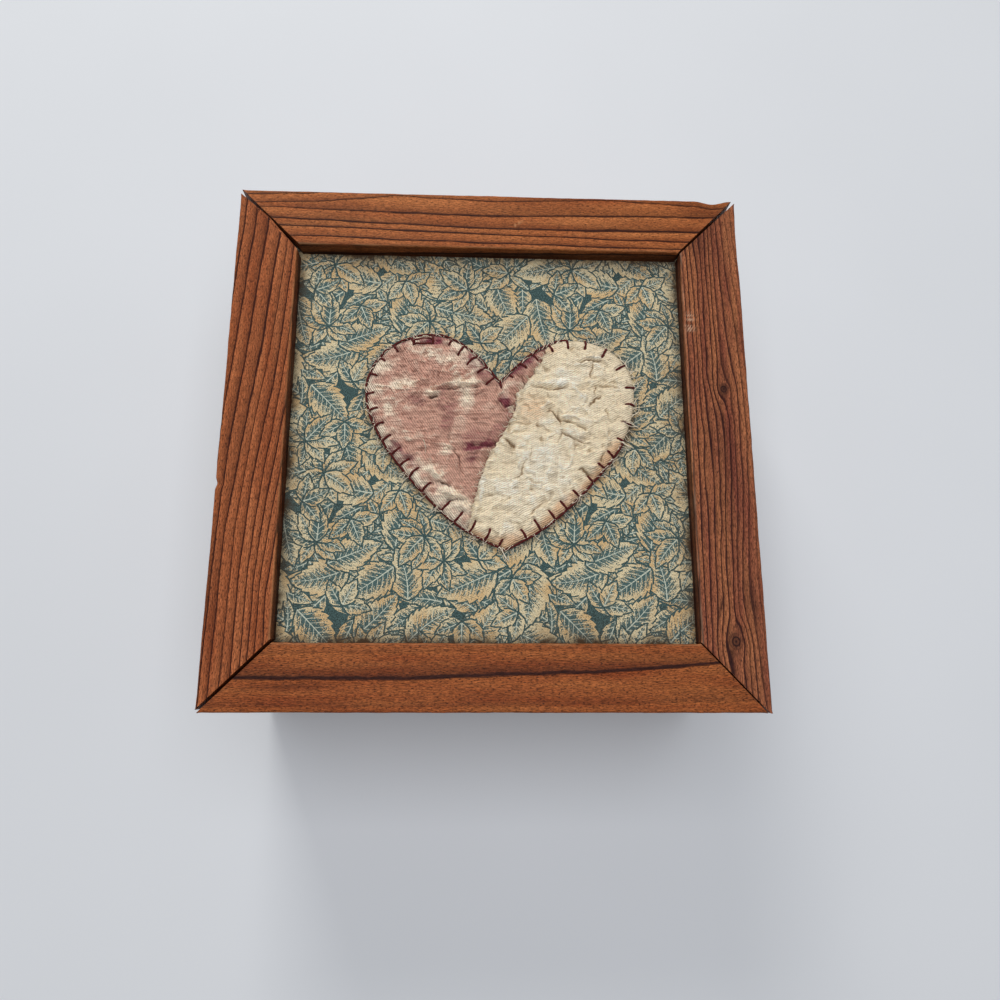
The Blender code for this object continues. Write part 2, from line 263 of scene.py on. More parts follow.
# --- meshes and materials ---
class Graph:
    """The node tree of one material."""

    def __init__(self, name: str) -> None:
        """Makes an empty material.

        Args:
            name: Its name.
        """
        self.material = bpy.data.materials.new(name)
        self.material.use_nodes = True
        self.tree = self.material.node_tree
        self.tree.nodes.clear()

    def add(self, kind: str, links: dict, out: int | str = 0, ramp: list | None = None,
            **settings) -> Socket:
        """Adds one node with its settings and links.

        Args:
            kind: Blender's node type after "ShaderNode".
            links: What each input holds, by name or number: a value or another node's output.
            out: Name or number of the output to hand back.
            ramp: Stops of a colour ramp, as (place, hex colour or grey from 0 to 1).
            **settings: Properties of the node by name.

        Returns:
            The chosen output, or None for a node without outputs.
        """
        item = self.tree.nodes.new(f"ShaderNode{kind}")
        for key, value in settings.items():
            setattr(item, key, value)
        if ramp:
            while len(item.color_ramp.elements) < len(ramp):
                item.color_ramp.elements.new(0.5)
            for element, (place, tone) in zip(item.color_ramp.elements, ramp):
                element.position = place
                element.color = linear(tone) if isinstance(tone, str) else (tone,) * 3 + (1.0,)
        for key, value in links.items():
            socket = item.inputs[key]
            if isinstance(value, Socket):
                self.tree.links.new(value, socket)
            else:
                socket.default_value = value
        return item.outputs[out] if item.outputs else None

    def values(self, name: str) -> Socket:
        """Three values that the mesh carries by name."""
        return self.add("Attribute", {}, "Vector", attribute_name=name)

    def split(self, vector: Socket) -> tuple:
        """The three parts of a vector."""
        return tuple(self.add("SeparateXYZ", {0: vector}).node.outputs)

    def math(self, operation: str, *values: Socket | float,
             clamp: bool = False) -> Socket:
        """One sum, with its result kept from 0 to 1 if clamped."""
        return self.add("Math", dict(enumerate(values)), operation=operation, use_clamp=clamp)

    def scaled(self, vector: Socket, scale: tuple) -> Socket:
        """A vector with each part multiplied on its own."""
        return self.add("VectorMath", {0: vector, 1: scale}, operation="MULTIPLY")

    def noise(self, vector: Socket, scale: float | tuple, detail: float,
              roughness: float = 0.5) -> Socket:
        """Smooth random values from 0 to 1.

        Args:
            vector: Where they are read.
            scale: Hills for each unit, the same in each direction or one for each.
            detail: Number of finer patterns that are added.
            roughness: How strong each of them is beside the one before.

        Returns:
            The values.
        """
        if isinstance(scale, tuple):
            vector, scale = self.scaled(vector, scale), 1.0
        return self.add("TexNoise", {"Vector": vector, "Scale": scale, "Detail": detail,
                                     "Roughness": roughness})

    def spread(self, value: Socket, low: Socket | float, high: float,
               first: float = 0.0, last: float = 1.0, smooth: bool = False) -> Socket:
        """Spreads a value between two limits over a new range, and holds it there beyond them.

        Args:
            value: The value.
            low: Its lower limit.
            high: Its upper limit.
            first: What the lower limit turns to.
            last: What the upper limit turns to.
            smooth: Whether it eases in and out.

        Returns:
            The new value.
        """
        return self.add("MapRange", {0: value, 1: low, 2: high, 3: first, 4: last},
                        interpolation_type="SMOOTHSTEP" if smooth else "LINEAR")

    def mix(self, share: Socket | float, first: Socket | str,
            second: Socket | str, blend: str = "MIX") -> Socket:
        """Mixes two colours.

        Args:
            share: How much of the second is taken, from 0 to 1.
            first: A colour, as an output or in hex.
            second: Another.
            blend: How the second is laid over the first.

        Returns:
            The mixed colour.
        """
        tones = [linear(tone) if isinstance(tone, str) else tone for tone in (first, second)]
        return self.add("Mix", {0: share, 6: tones[0], 7: tones[1]}, 2, data_type="RGBA",
                        blend_type=blend)

    def finish(self, colour: Socket, height: Socket, depth: float,
               roughness: Socket | float, **constants) -> bpy.types.Material:
        """Closes the tree with a bump, the principled shader and the output.

        Args:
            colour: Colour of the surface.
            height: Relief from 0 to 1, too fine to be in the mesh.
            depth: Millimetres that the relief spans.
            roughness: Roughness of the surface.
            **constants: Further inputs of the shader that are the same all over, with underscores
                for spaces in their names.

        Returns:
            The finished material.
        """
        normal = self.add("Bump", {"Height": height, "Distance": depth * MM, "Strength": 1.0})
        inputs = {"Base Color": colour, "Roughness": roughness, "Normal": normal}
        inputs.update({key.replace("_", " "): value for key, value in constants.items()})
        shader = self.add("BsdfPrincipled", inputs)
        self.add("OutputMaterial", {"Surface": shader})
        return self.material


def store(mesh: bpy.types.Mesh, domain: str, values: dict) -> None:
    """Puts values in a mesh, where its finish reads them.

    Args:
        mesh: The mesh.
        domain: What each row of a table belongs to, "POINT" or "CORNER".
        values: Tables with three values in each row, by name.
    """
    for key, data in values.items():
        attribute = mesh.attributes.new(key, "FLOAT_VECTOR", domain)
        attribute.data.foreach_set("vector", data.astype(np.float32).ravel())


def new_piece(name: str, spots: np.ndarray, faces: list, material: bpy.types.Material,
              points: dict | None = None, corners: dict | None = None,
              smooth: bool = True) -> bpy.types.Object:
    """Makes a piece of the box from its points and faces.

    Args:
        name: Name of the piece.
        spots: Its points in millimetres, in the box's own axes.
        faces: Rows of point numbers, anticlockwise seen from outside.
        material: Its finish.
        points: Values that the finish reads at each point, by name.
        corners: Values that the finish reads at each corner of a face, by name.
        smooth: Whether its faces are shaded smooth.

    Returns:
        The piece, riding on the box.
    """
    mesh = bpy.data.meshes.new(name)
    mesh.from_pydata((spots * MM).tolist(), [], faces)
    if smooth:
        mesh.shade_smooth()
    else:
        mesh.shade_flat()
    store(mesh, "POINT", points or {})
    store(mesh, "CORNER", corners or {})
    mesh.materials.append(material)
    item = bpy.data.objects.new(name, mesh)
    bpy.context.scene.collection.objects.link(item)
    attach(item, BODY)
    LOG.info("%s: %d points, %d faces", name, len(spots), len(faces))
    return item


def tube(line: np.ndarray, radius: np.ndarray | float, sides: int) -> tuple[np.ndarray, list]:
    """A round thread along a line, with closed ends.

    Args:
        line: Its middle line.
        radius: Its radius, one value or one for each point of the line.
        sides: Number of sides of its section.

    Returns:
        Its points, and its faces as rows of point numbers.
    """
    count = len(line)
    radii = np.broadcast_to(np.asarray(radius, float), (count,))
    tangents = np.gradient(line, axis=0)
    tangents /= np.maximum(np.linalg.norm(tangents, axis=1, keepdims=True), 1e-9)
    up = np.tile([0.0, 0.0, 1.0], (count, 1))
    steep = np.abs(tangents[:, 2]) > 0.9
    up[steep] = [0.37, 0.93, 0.0]
    aside = np.cross(tangents, up)
    aside /= np.linalg.norm(aside, axis=1, keepdims=True)
    for i in range(1, count):
        if aside[i] @ aside[i - 1] < 0.0:
            aside[i] *= -1.0
    above = np.cross(aside, tangents)
    angles = np.arange(sides) * 2.0 * math.pi / sides
    ring = (np.cos(angles)[None, :, None] * aside[:, None, :]
            + np.sin(angles)[None, :, None] * above[:, None, :])
    spots = (line[:, None, :] + ring * radii[:, None, None]).reshape(-1, 3)
    faces = [[i * sides + j, i * sides + (j + 1) % sides,
              (i + 1) * sides + (j + 1) % sides, (i + 1) * sides + j]
             for i in range(count - 1) for j in range(sides)]
    faces.append(list(range(sides - 1, -1, -1)))
    faces.append([(count - 1) * sides + j for j in range(sides)])
    turn = np.cross(spots[1] - spots[0], spots[sides] - spots[0]) @ (spots[0] - line[0])
    if turn < 0.0:
        faces = [face[::-1] for face in faces]
    return spots, faces


def joined(parts: list) -> tuple[np.ndarray, list]:
    """Puts several bodies in one.

    Args:
        parts: Points and faces of each.

    Returns:
        Points and faces of all of them.
    """
    spots, faces, count = [], [], 0
    for part_spots, part_faces in parts:
        spots.append(part_spots)
        faces += [[index + count for index in face] for face in part_faces]
        count += len(part_spots)
    return np.vstack(spots), faces


def cut_plane(points: list, polygons: list, precision: float) -> tuple[np.ndarray, list, list]:
    """Cuts the first polygon into triangles along the others and through all the points.

    Args:
        points: Places in the plane.
        polygons: Rows of point numbers, of which the first is the outline to fill.
        precision: Points closer than this become one.

    Returns:
        The points in use, the triangles as rows of point numbers, and the last polygon that each
        triangle lies in.
    """
    found = delaunay_2d_cdt([Vector(p) for p in points], [], polygons, 0, precision, True)
    spots = np.array([tuple(v) for v in found[0]])
    kept = [(face, max(origins)) for face, origins in zip(found[2], found[5]) if 0 in origins]
    used = sorted({i for face, _ in kept for i in face})
    number = {old: new for new, old in enumerate(used)}
    faces = [[number[i] for i in face] for face, _ in kept]
    return spots[used], faces, [top for _, top in kept]


def rim_of(faces: list) -> list:
    """Follows the open edge of a sheet.

    Args:
        faces: The sheet's faces, anticlockwise.

    Returns:
        Numbers of the points round its edge, anticlockwise.
    """
    edges = {(a, b) for face in faces for a, b in zip(face, face[1:] + face[:1])}
    onward = {a: b for a, b in edges if (b, a) not in edges}
    first = min(onward)
    ring, spot = [first], onward[first]
    while spot != first:
        ring.append(spot)
        spot = onward[spot]
    return ring


def closed_below(ring: list, count: int) -> list:
    """Faces that close a sheet on its sides and below.

    Args:
        ring: Numbers of the points round its edge.
        count: Number of its points, after which a lower copy of the ring follows.

    Returns:
        A face for each side, and one for the underside.
    """
    under = [count + i for i in range(len(ring))]
    sides = [[ring[i - 1], under[i - 1], under[i], ring[i]] for i in range(len(ring))]
    return [*sides, under[::-1]]


# --- finishes ---
@dataclass(frozen=True)
class StainedSoftwood:
    """Planed pine under a thin brown oil stain, rubbed to a low satin.

    The stain sinks into the soft early wood and leaves each ring to darken slowly and end in a hard
    line, which gives the eye stripes that follow the board, crossed by fine dark fibres.
    """

    name: str
    early: str  # stained early wood, sRGB
    middle: str  # the board's broad darker streaks
    late: str  # the hard line that ends a ring
    stain: str  # resin, knots, old soiling, and the painted shade down the rails' inner faces
    worn: str  # rubbed arrises and scratches
    fibre: float = 0.5  # how strongly the dark fibres show
    speck: float = 0.5  # how strongly the pores show
    roughness: float = 0.46

    DRIFT = (0.09, 0.8, 0.8)  # hills for each mm of what makes the rings' lines stray
    STREAKS = (0.016, 0.17, 0.17)  # the same for the board's broad streaks
    FIBRE_LENGTH = 2.8  # mm
    FIBRE_WIDTH = 0.34  # mm; real tracheids are 0.03, drawn coarser so that they show
    PORE_LENGTH = 1.1  # mm
    PORE_WIDTH = 0.28  # mm
    RELIEF = 0.22  # mm
    STRAY = 0.16  # share of a ring by which its line strays
    LINE_FULL = 0.93  # share of a ring where its dark line is full
    LINE_GONE = 0.95  # where the line starts to end
    SLOW = 0.62  # how dark early wood has become when the line starts
    KNOT_RINGS = 5.2  # radians of a knot's rings for each unit from its middle
    OILED = 0.14  # shine of a stain that has sunk in

    def material(self) -> bpy.types.Material:
        """Builds the finish.

        Returns:
            A material that reads the board, grain and wear values of a board's points.
        """
        g = Graph(self.name)
        board = g.values("board")
        ring, amount, share = g.split(g.values("grain"))
        dirt_and_shade, rubbed, knot = g.split(g.values("wear_and_shade"))

        jitter = g.noise(board, self.DRIFT, 3.0)
        shifted = g.math("MULTIPLY_ADD", jitter, self.STRAY, ring)
        turn = g.math("FRACT", shifted)
        start = g.math("SUBTRACT", 1.0, share)
        rise = g.spread(turn, start, self.LINE_FULL, smooth=True)
        drop = g.spread(turn, self.LINE_GONE, 1.0, 1.0, 0.0, smooth=True)
        line = g.math("MULTIPLY", rise, drop)
        slow = g.math("POWER", turn, 1.6)
        slow = g.math("MULTIPLY", slow, self.SLOW)
        both = g.math("MAXIMUM", line, slow)
        late = g.math("MULTIPLY", both, amount)
        late = g.math("MULTIPLY", late, 1.22, clamp=True)

        tone = g.noise(board, self.STREAKS, 4.0, 0.6)
        tone = g.add("ValToRGB", {0: tone}, ramp=[(0.36, 0.0), (0.66, 1.0)])
        colour = g.mix(tone, self.early, self.middle)
        colour = g.mix(late, colour, self.late)

        thread = (1.0 / self.FIBRE_LENGTH, 1.0 / self.FIBRE_WIDTH, 1.0 / self.FIBRE_WIDTH)
        fibre = g.noise(board, thread, 2.0, 0.7)
        strands = g.spread(fibre, 0.34, 0.66, 1.0 - self.fibre, 1.0 + 0.8 * self.fibre)
        fibred = g.mix(1.0, colour, strands, "MULTIPLY")
        dash = (1.0 / self.PORE_LENGTH, 1.0 / self.PORE_WIDTH, 1.0 / self.PORE_WIDTH)
        pore = g.noise(board, dash, 1.0)
        pore = g.add("ValToRGB", {0: pore}, ramp=[(0.36, 1.0), (0.46, 0.0)])
        pore = g.math("MULTIPLY", pore, self.speck)
        colour = g.mix(pore, fibred, self.stain)

        eye = g.math("MULTIPLY_ADD", knot, self.KNOT_RINGS, jitter)
        eye = g.math("SINE", eye)
        eye = g.spread(eye, -0.2, 0.9, 0.35, 1.0)
        near = g.spread(knot, 1.4, 3.4, 1.0, 0.0, smooth=True)
        eye = g.math("MULTIPLY", eye, near)
        colour = g.mix(eye, colour, self.stain)
        # soiling, and the painted shade down the rails' inner faces, darken the wood towards the
        # stain colour
        dirt_and_shade_amount = g.math("MULTIPLY", dirt_and_shade, 0.92, clamp=True)
        colour = g.mix(dirt_and_shade_amount, colour, self.stain)
        colour = g.mix(rubbed, colour, self.worn)

        height = g.math("MULTIPLY_ADD", late, 0.35, fibre)
        gloss = g.spread(fibre, 0.3, 0.7, self.roughness + 0.14, self.roughness - 0.04)
        return g.finish(colour, height, self.RELIEF, gloss, Specular_IOR_Level=self.OILED)


@dataclass(frozen=True)
class PrintedCotton:
    """Plain-woven quilting cotton, block printed with leaves in teal on tan.

    The ink leaves bare tan cloth for the leaves and is stippled from their midribs outwards, which
    gives the eye an engraved look, dulled by age, by soiling and painted shade along the frame, and
    by a painted shadow round the heart.
    """

    name: str = "printed_cotton"
    ground: str = "#4c6463"         # solid teal ink
    deep: str = "#354644"           # teal ink over shading
    leaf: str = "#d8c8a2"           # bare tan cloth
    leaf_warm: str = "#d0b080"  # the same, yellowed
    vein: str = "#c6cbb8"           # pale greenish veins
    soil_and_shade: str = "#4b3a2a"  # soiling from hands and the frame, painted shade along the frame and a painted shadow round the heart

    THREAD = 0.5  # mm from one thread to the next; the real cloth has about 0.4
    VEIN_PITCH = 2.3  # mm between side veins
    STIPPLE = 0.42  # mm between dots of the shading
    STROKES = (0.55, 1.6)  # mm across and along the strokes of the shading
    SLUBS = (0.12, 2.2, 1.0)  # thick places of the yarn for each mm
    YELLOWING = 0.09  # yellowed places for each mm
    DUST = 0.45  # specks of dirt for each mm
    VEIN_SLANT = 0.85  # mm that a side vein runs forward for each mm outwards
    RELIEF = 0.12  # mm
    ROUGHNESS = 0.92

    def material(self) -> bpy.types.Material:
        """Builds the finish.

        Returns:
            A material that reads the leaf, form and place values of the print's face corners.
        """
        g = Graph(self.name)
        x, y, seed = g.split(g.values("leaf"))
        length, width, inked = g.split(g.values("form"))
        place = g.values("place")
        _, _, soil_and_shade = g.split(place)

        aside = g.math("ABSOLUTE", y)
        along = g.math("DIVIDE", x, length, clamp=True)
        swell = g.math("POWER", along, LEAF_SWELL)
        swell = g.math("MULTIPLY", swell, math.pi)
        swell = g.math("SINE", swell)
        half = g.math("MULTIPLY", width, 0.5)
        half = g.math("MULTIPLY", swell, half)
        half = g.math("ADD", half, 0.4)
        reach = g.math("DIVIDE", aside, half, clamp=True)

        # How far the shading has spread: dense by the midrib and the base, none at the margin.
        spread = g.math("MULTIPLY_ADD", reach, -0.95, 0.86)
        spread = g.math("MULTIPLY_ADD", along, -0.26, spread)
        varied = g.math("MULTIPLY_ADD", seed, 0.30, spread)

        slant = g.math("MULTIPLY_ADD", aside, -self.VEIN_SLANT, x)
        wave = g.math("MULTIPLY", slant, 1.0 / self.VEIN_PITCH)
        turn = g.math("FRACT", wave)
        offset = g.math("SUBTRACT", turn, 0.5)
        offset = g.math("ABSOLUTE", offset)

        comb = g.add("CombineXYZ", {0: slant, 1: aside, 2: seed})
        strokes = g.noise(comb, (1.0 / self.STROKES[0], 1.0 / self.STROKES[1], 40.0), 2.0)
        dots = g.noise(place, 1.0 / self.STIPPLE, 1.0)
        grain = g.math("MULTIPLY_ADD", strokes, 1.9, -1.75)
        grain = g.math("MULTIPLY_ADD", dots, 1.6, grain)
        hatch = g.math("MULTIPLY_ADD", offset, -0.35, varied)
        shade = g.math("SUBTRACT", hatch, grain)
        shade = g.spread(shade, 0.10, 0.36, smooth=True)

        rib_width = g.math("MULTIPLY_ADD", along, -0.20, 0.27)
        rib = g.math("SUBTRACT", rib_width, aside)
        rib = g.spread(rib, -0.04, 0.08)
        side = g.spread(offset, 0.42, 0.47)
        fading = g.spread(reach, 0.35, 0.85, 1.0, 0.0)
        side = g.math("MULTIPLY", side, fading)
        veins = g.math("MAXIMUM", rib, side)

        warm = g.noise(place, self.YELLOWING, 2.0)
        warm = g.spread(warm, 0.42, 0.62)
        cloth = g.mix(warm, self.leaf, self.leaf_warm)
        colour = g.mix(shade, cloth, self.ground)
        colour = g.mix(veins, colour, self.vein)
        mottle = g.spread(dots, 0.35, 0.65)
        ink = g.mix(mottle, self.deep, self.ground)
        colour = g.mix(inked, colour, ink)

        threads = g.scaled(place, (math.pi / self.THREAD,) * 3)
        warp, weft, _ = g.split(threads)
        over = g.math("SINE", warp)
        under = g.math("SINE", weft)
        weave = g.math("MULTIPLY", over, under)
        slub = g.noise(place, self.SLUBS, 2.0)
        lift = g.math("MULTIPLY_ADD", weave, 0.10, 0.5)
        lift = g.math("MULTIPLY_ADD", slub, 0.35, lift)
        faded = g.spread(lift, 0.5, 0.85, 0.80, 1.14)
        fleck = g.spread(dots, 0.32, 0.68, 0.74, 1.24)
        faded = g.math("MULTIPLY", faded, fleck)
        colour = g.mix(1.0, colour, faded, "MULTIPLY")
        # the soiling value, with its painted shade and painted shadow, broken into specks
        dust_and_shade = g.noise(place, self.DUST, 3.0)
        dust_and_shade = g.spread(dust_and_shade, 0.3, 0.7, 0.7, 1.2)
        dust_and_shade = g.math("MULTIPLY", soil_and_shade, dust_and_shade, clamp=True)
        colour = g.mix(dust_and_shade, colour, self.soil_and_shade)
        return g.finish(colour, lift, self.RELIEF, self.ROUGHNESS, Specular_IOR_Level=0.15,
                        Sheen_Weight=0.06, Sheen_Roughness=0.5)


@dataclass(frozen=True)
class FadedQuiltCotton:
    """Worn quilt cotton over a thin batting, faded by washing and light.

    Its soft thick yarns give the eye a fine rib, broken where the surface yarns have worn through
    and the pale cloth below shows.
    """

    name: str
    cloth: str
    deep: str  # dye that has kept its strength
    pale: str  # worn or undyed yarns
    soil_and_shade: str  # soiling that gathers in folds, and painted shade in creases, pits, at the rim and under the seam's lap
    twill: float  # degrees from the weft to the ribs that show
    pitch: float  # mm from one rib to the next
    contrast: float  # how strongly the ribs show

    YARN = (0.22, 2.6, 1.0)  # yarns for each mm, along and across the weft
    WANDER = 0.25  # bends of a rib for each mm
    FUZZ = 2.4  # tufts of nap for each mm
    FILLING = (2.6, 0.3, 1.0)  # the same for the yarns that cross them
    RELIEF = 0.34  # mm
    ROUGHNESS = 0.95

    def material(self) -> bpy.types.Material:
        """Builds the finish.

        Returns:
            A material that reads the cloth and tint values of a patch's points.
        """
        g = Graph(self.name)
        cloth = g.values("cloth")
        pale, deep, soil_and_shade = g.split(g.values("tint"))

        turned = g.add("VectorRotate", {"Vector": cloth, "Angle": math.radians(self.twill)},
                       rotation_type="Z_AXIS")
        wander = g.noise(cloth, self.WANDER, 2.0)
        rib = g.split(turned)[0]
        rib = g.math("MULTIPLY", rib, 2.0 * math.pi / self.pitch)
        rib = g.math("MULTIPLY_ADD", wander, 9.0, rib)
        rib = g.math("SINE", rib)
        rib = g.math("MULTIPLY_ADD", rib, 0.5, 0.5)

        yarn = g.noise(cloth, self.YARN, 3.0, 0.6)
        cross = g.noise(cloth, self.FILLING, 2.0)
        fuzz = g.noise(cloth, self.FUZZ, 2.0)

        rough = g.math("SUBTRACT", yarn, 0.5)
        worn = g.math("MULTIPLY_ADD", rough, 1.1, pale)
        worn = g.spread(worn, 0.12, 1.05, smooth=True)
        dyed = g.math("MULTIPLY_ADD", rough, 1.2, deep)
        dyed = g.spread(dyed, 0.20, 0.85, smooth=True)
        colour = g.mix(dyed, self.cloth, self.deep)
        colour = g.mix(worn, colour, self.pale)
        tone = g.math("MULTIPLY_ADD", cross, 0.5, yarn)
        tone = g.spread(tone, 0.5, 1.0, 0.74, 1.32)
        ribbed = g.math("MULTIPLY_ADD", rib, self.contrast, 1.0 - 0.5 * self.contrast)
        tone = g.math("MULTIPLY", tone, ribbed)
        colour = g.mix(1.0, colour, tone, "MULTIPLY")
        # soiling and painted shade from the tint, broken by the nap
        grime_and_shade = g.spread(fuzz, 0.3, 0.7, 0.6, 1.3)
        grime_and_shade = g.math("MULTIPLY", soil_and_shade, grime_and_shade, clamp=True)
        colour = g.mix(grime_and_shade, colour, self.soil_and_shade)

        height = g.math("MULTIPLY_ADD", yarn, 0.7, rib)
        height = g.math("MULTIPLY_ADD", fuzz, 0.8, height)
        return g.finish(colour, height, self.RELIEF, self.ROUGHNESS, Specular_IOR_Level=0.1,
                        Sheen_Weight=0.06, Sheen_Roughness=0.6)


@dataclass(frozen=True)
class CottonThread:
    """Stranded cotton thread, loosely twisted, matt with age.

    Its strands give the eye short light and dark flecks along the thread, without a shine.
    """

    name: str
    colour: str
    dark: str

    STRAND = 0.25  # mm from one strand to the next round the thread

    def material(self) -> bpy.types.Material:
        """Builds the finish.

        Returns:
            A material with the slant of twisted strands, placed by the object's own coordinates.
        """
        g = Graph(self.name)
        spot = g.add("TexCoord", {}, "Object")
        spot = g.scaled(spot, (1000.0,) * 3)
        strand = g.noise(spot, 1.0 / self.STRAND, 2.0)
        tone = g.spread(strand, 0.35, 0.65)
        colour = g.mix(tone, self.dark, self.colour)
        return g.finish(colour, strand, 0.12, 0.8, Specular_IOR_Level=0.2, Sheen_Weight=0.1)


@dataclass(frozen=True)
class MattPaper:
    """A roll of pale backdrop paper, smooth and matt.

    Its calendered fibres give the eye an even ground that takes soft shadows and no reflections.
    """

    name: str = "backdrop_paper"
    colour: str = "#e3e6ea"

    def material(self) -> bpy.types.Material:
        """Builds the finish.

        Returns:
            A nearly even pale material.
        """
        g = Graph(self.name)
        spot = g.add("TexCoord", {}, "Object")
        cloud = g.noise(spot, 6.0, 2.0)
        tone = g.spread(cloud, 0.3, 0.7, 0.985, 1.01)
        colour = g.mix(1.0, self.colour, tone, "MULTIPLY")
        return g.finish(colour, cloud, 0.01, 0.9, Specular_IOR_Level=0.05)


# --- boards ---
RAIL = 24.4  # width of a lid rail
THICK = 19.05  # thickness of every board
LIP = 7.5  # rail tops down to the cotton
REBATE = 5.0  # how far the cotton reaches in under the rails' lips
FIT = 0.3  # gap round a panel
ARRIS = 0.9  # radius of a rail's long edges
WALL_TOP = 82.25  # height of the walls
PANEL = 6.35  # the bottom panel's thickness, and how far it is let in
CRISP = 38.0  # degrees beyond which an edge stays sharp


class Side(Enum):
    """The four sides of the box, by quarter turns from the front."""

    FRONT = 0
    RIGHT = 1
    BACK = 2
    LEFT = 3


@dataclass(frozen=True)
class Grain:
    """Growth rings of one board.

    Each line is where a ring ends on the board's top, as (along, across) points, from the outer
    edge inwards, with how dark it is and the share of the ring that its dark band takes.
    """

    lines: tuple
    strengths: tuple
    shares: tuple
    outer_gap: float  # mm from ring to ring beyond the first line
    inner_gap: float  # the same beyond the last
    slope: float  # mm that a ring moves inwards for each mm down the board
    waviness: float  # mm
    seed: int
    knots: tuple = ()  # (along, across, size)
    flipped: bool = False  # the dark band lies inwards of its line

    def rings(self, spots: np.ndarray, depth: np.ndarray) -> np.ndarray:
        """Ring number, strength and share of dark for points of the board.

        Args:
            spots: Points as (along, across).
            depth: How far each lies below the top.

        Returns:
            Three values for each point.
        """
        along = spots[:, 0]
        across = spots[:, 1] + self.slope * depth
        for knot_along, knot_across, size in self.knots:
            dx, dy = along - knot_along, across - knot_across
            near = dx * dx / 2.2 + dy * dy
            across = across - dy * 0.92 * np.exp(-near / (1.9 * size * size))
        stretched = np.stack([along / 7.0, across, 0.4 * depth], axis=1)
        across = across + self.waviness * noise(stretched, 2.4, self.seed, 2)
        across = across + 2.0 * self.waviness * noise(stretched, 7.0, self.seed + 5)
        levels = np.stack([
            np.interp(along, *zip(*self._reaching(line))) for line in self.lines
        ])
        gaps = np.maximum(np.diff(levels, axis=0), 0.25)
        shares = np.clip((across - levels[:-1]) / gaps, 0.0, 1.0)
        ring = shares.sum(0)
        ring = ring + np.minimum((across - levels[0]) / self.outer_gap, 0.0)
        ring = ring + np.maximum((across - levels[-1]) / self.inner_gap, 0.0)
        number = np.clip(np.ceil(ring).astype(int), 0, len(self.strengths) - 1)
        strength = np.array(self.strengths)[number]
        share = np.array(self.shares)[number]
        return np.stack([-ring if self.flipped else ring, strength, share], axis=1)

    @staticmethod
    def _reaching(line: tuple, reach: float = 130.0) -> list:
        """Carries a line on beyond both its ends, at half its last slope.

        Args:
            line: Its points.
            reach: How far from the middle of the board it is carried.

        Returns:
            Its points with one more at each end.
        """
        first, second, before, last = line[0], line[1], line[-2], line[-1]
        rise_start = (second[1] - first[1]) / (second[0] - first[0])
        rise_end = (last[1] - before[1]) / (last[0] - before[0])
        return [(-reach, first[1] - 0.5 * rise_start * (first[0] + reach)), *line,
                (reach, last[1] + 0.5 * rise_end * (reach - last[0]))]


@dataclass(frozen=True)
class LogGrain:
    """Growth rings of a board sawn from the side of a log: arches in the middle, lines beside."""

    centre: float  # height of the log's heart on the board, mm
    distance: float  # of the heart behind the board's face, mm
    taper: float  # mm that the rings widen over the board's length
    pitch: float  # mm from ring to ring
    waviness: float
    seed: int

    def rings(self, spots: np.ndarray, height: np.ndarray) -> np.ndarray:
        """Ring number, strength and share of dark for points of the board.

        Args:
            spots: Points as (along, across).
            height: Height of each on the board.

        Returns:
            Three values for each point.
        """
        along, across = spots[:, 0], spots[:, 1]
        stretched = np.stack([along / 8.0, across, height], axis=1)
        sway = self.waviness * noise(stretched, 9.0, self.seed, 2)
        radius = np.hypot(height - self.centre + sway, self.distance + across)
        radius = radius + self.taper * (along / 200.0) + 0.4 * self.waviness * noise(
            stretched, 3.0, self.seed + 9)
        ring = radius / self.pitch
        ring = ring + 0.35 * noise(ring[:, None] * np.ones((1, 2)), 1.7, self.seed + 3)
        number = np.floor(ring)[:, None] * np.ones((1, 2))
        strength = 0.62 + 0.25 * cell_values(number, self.seed + 4)
        return np.stack([ring, strength, np.full(len(ring), 0.34)], axis=1)


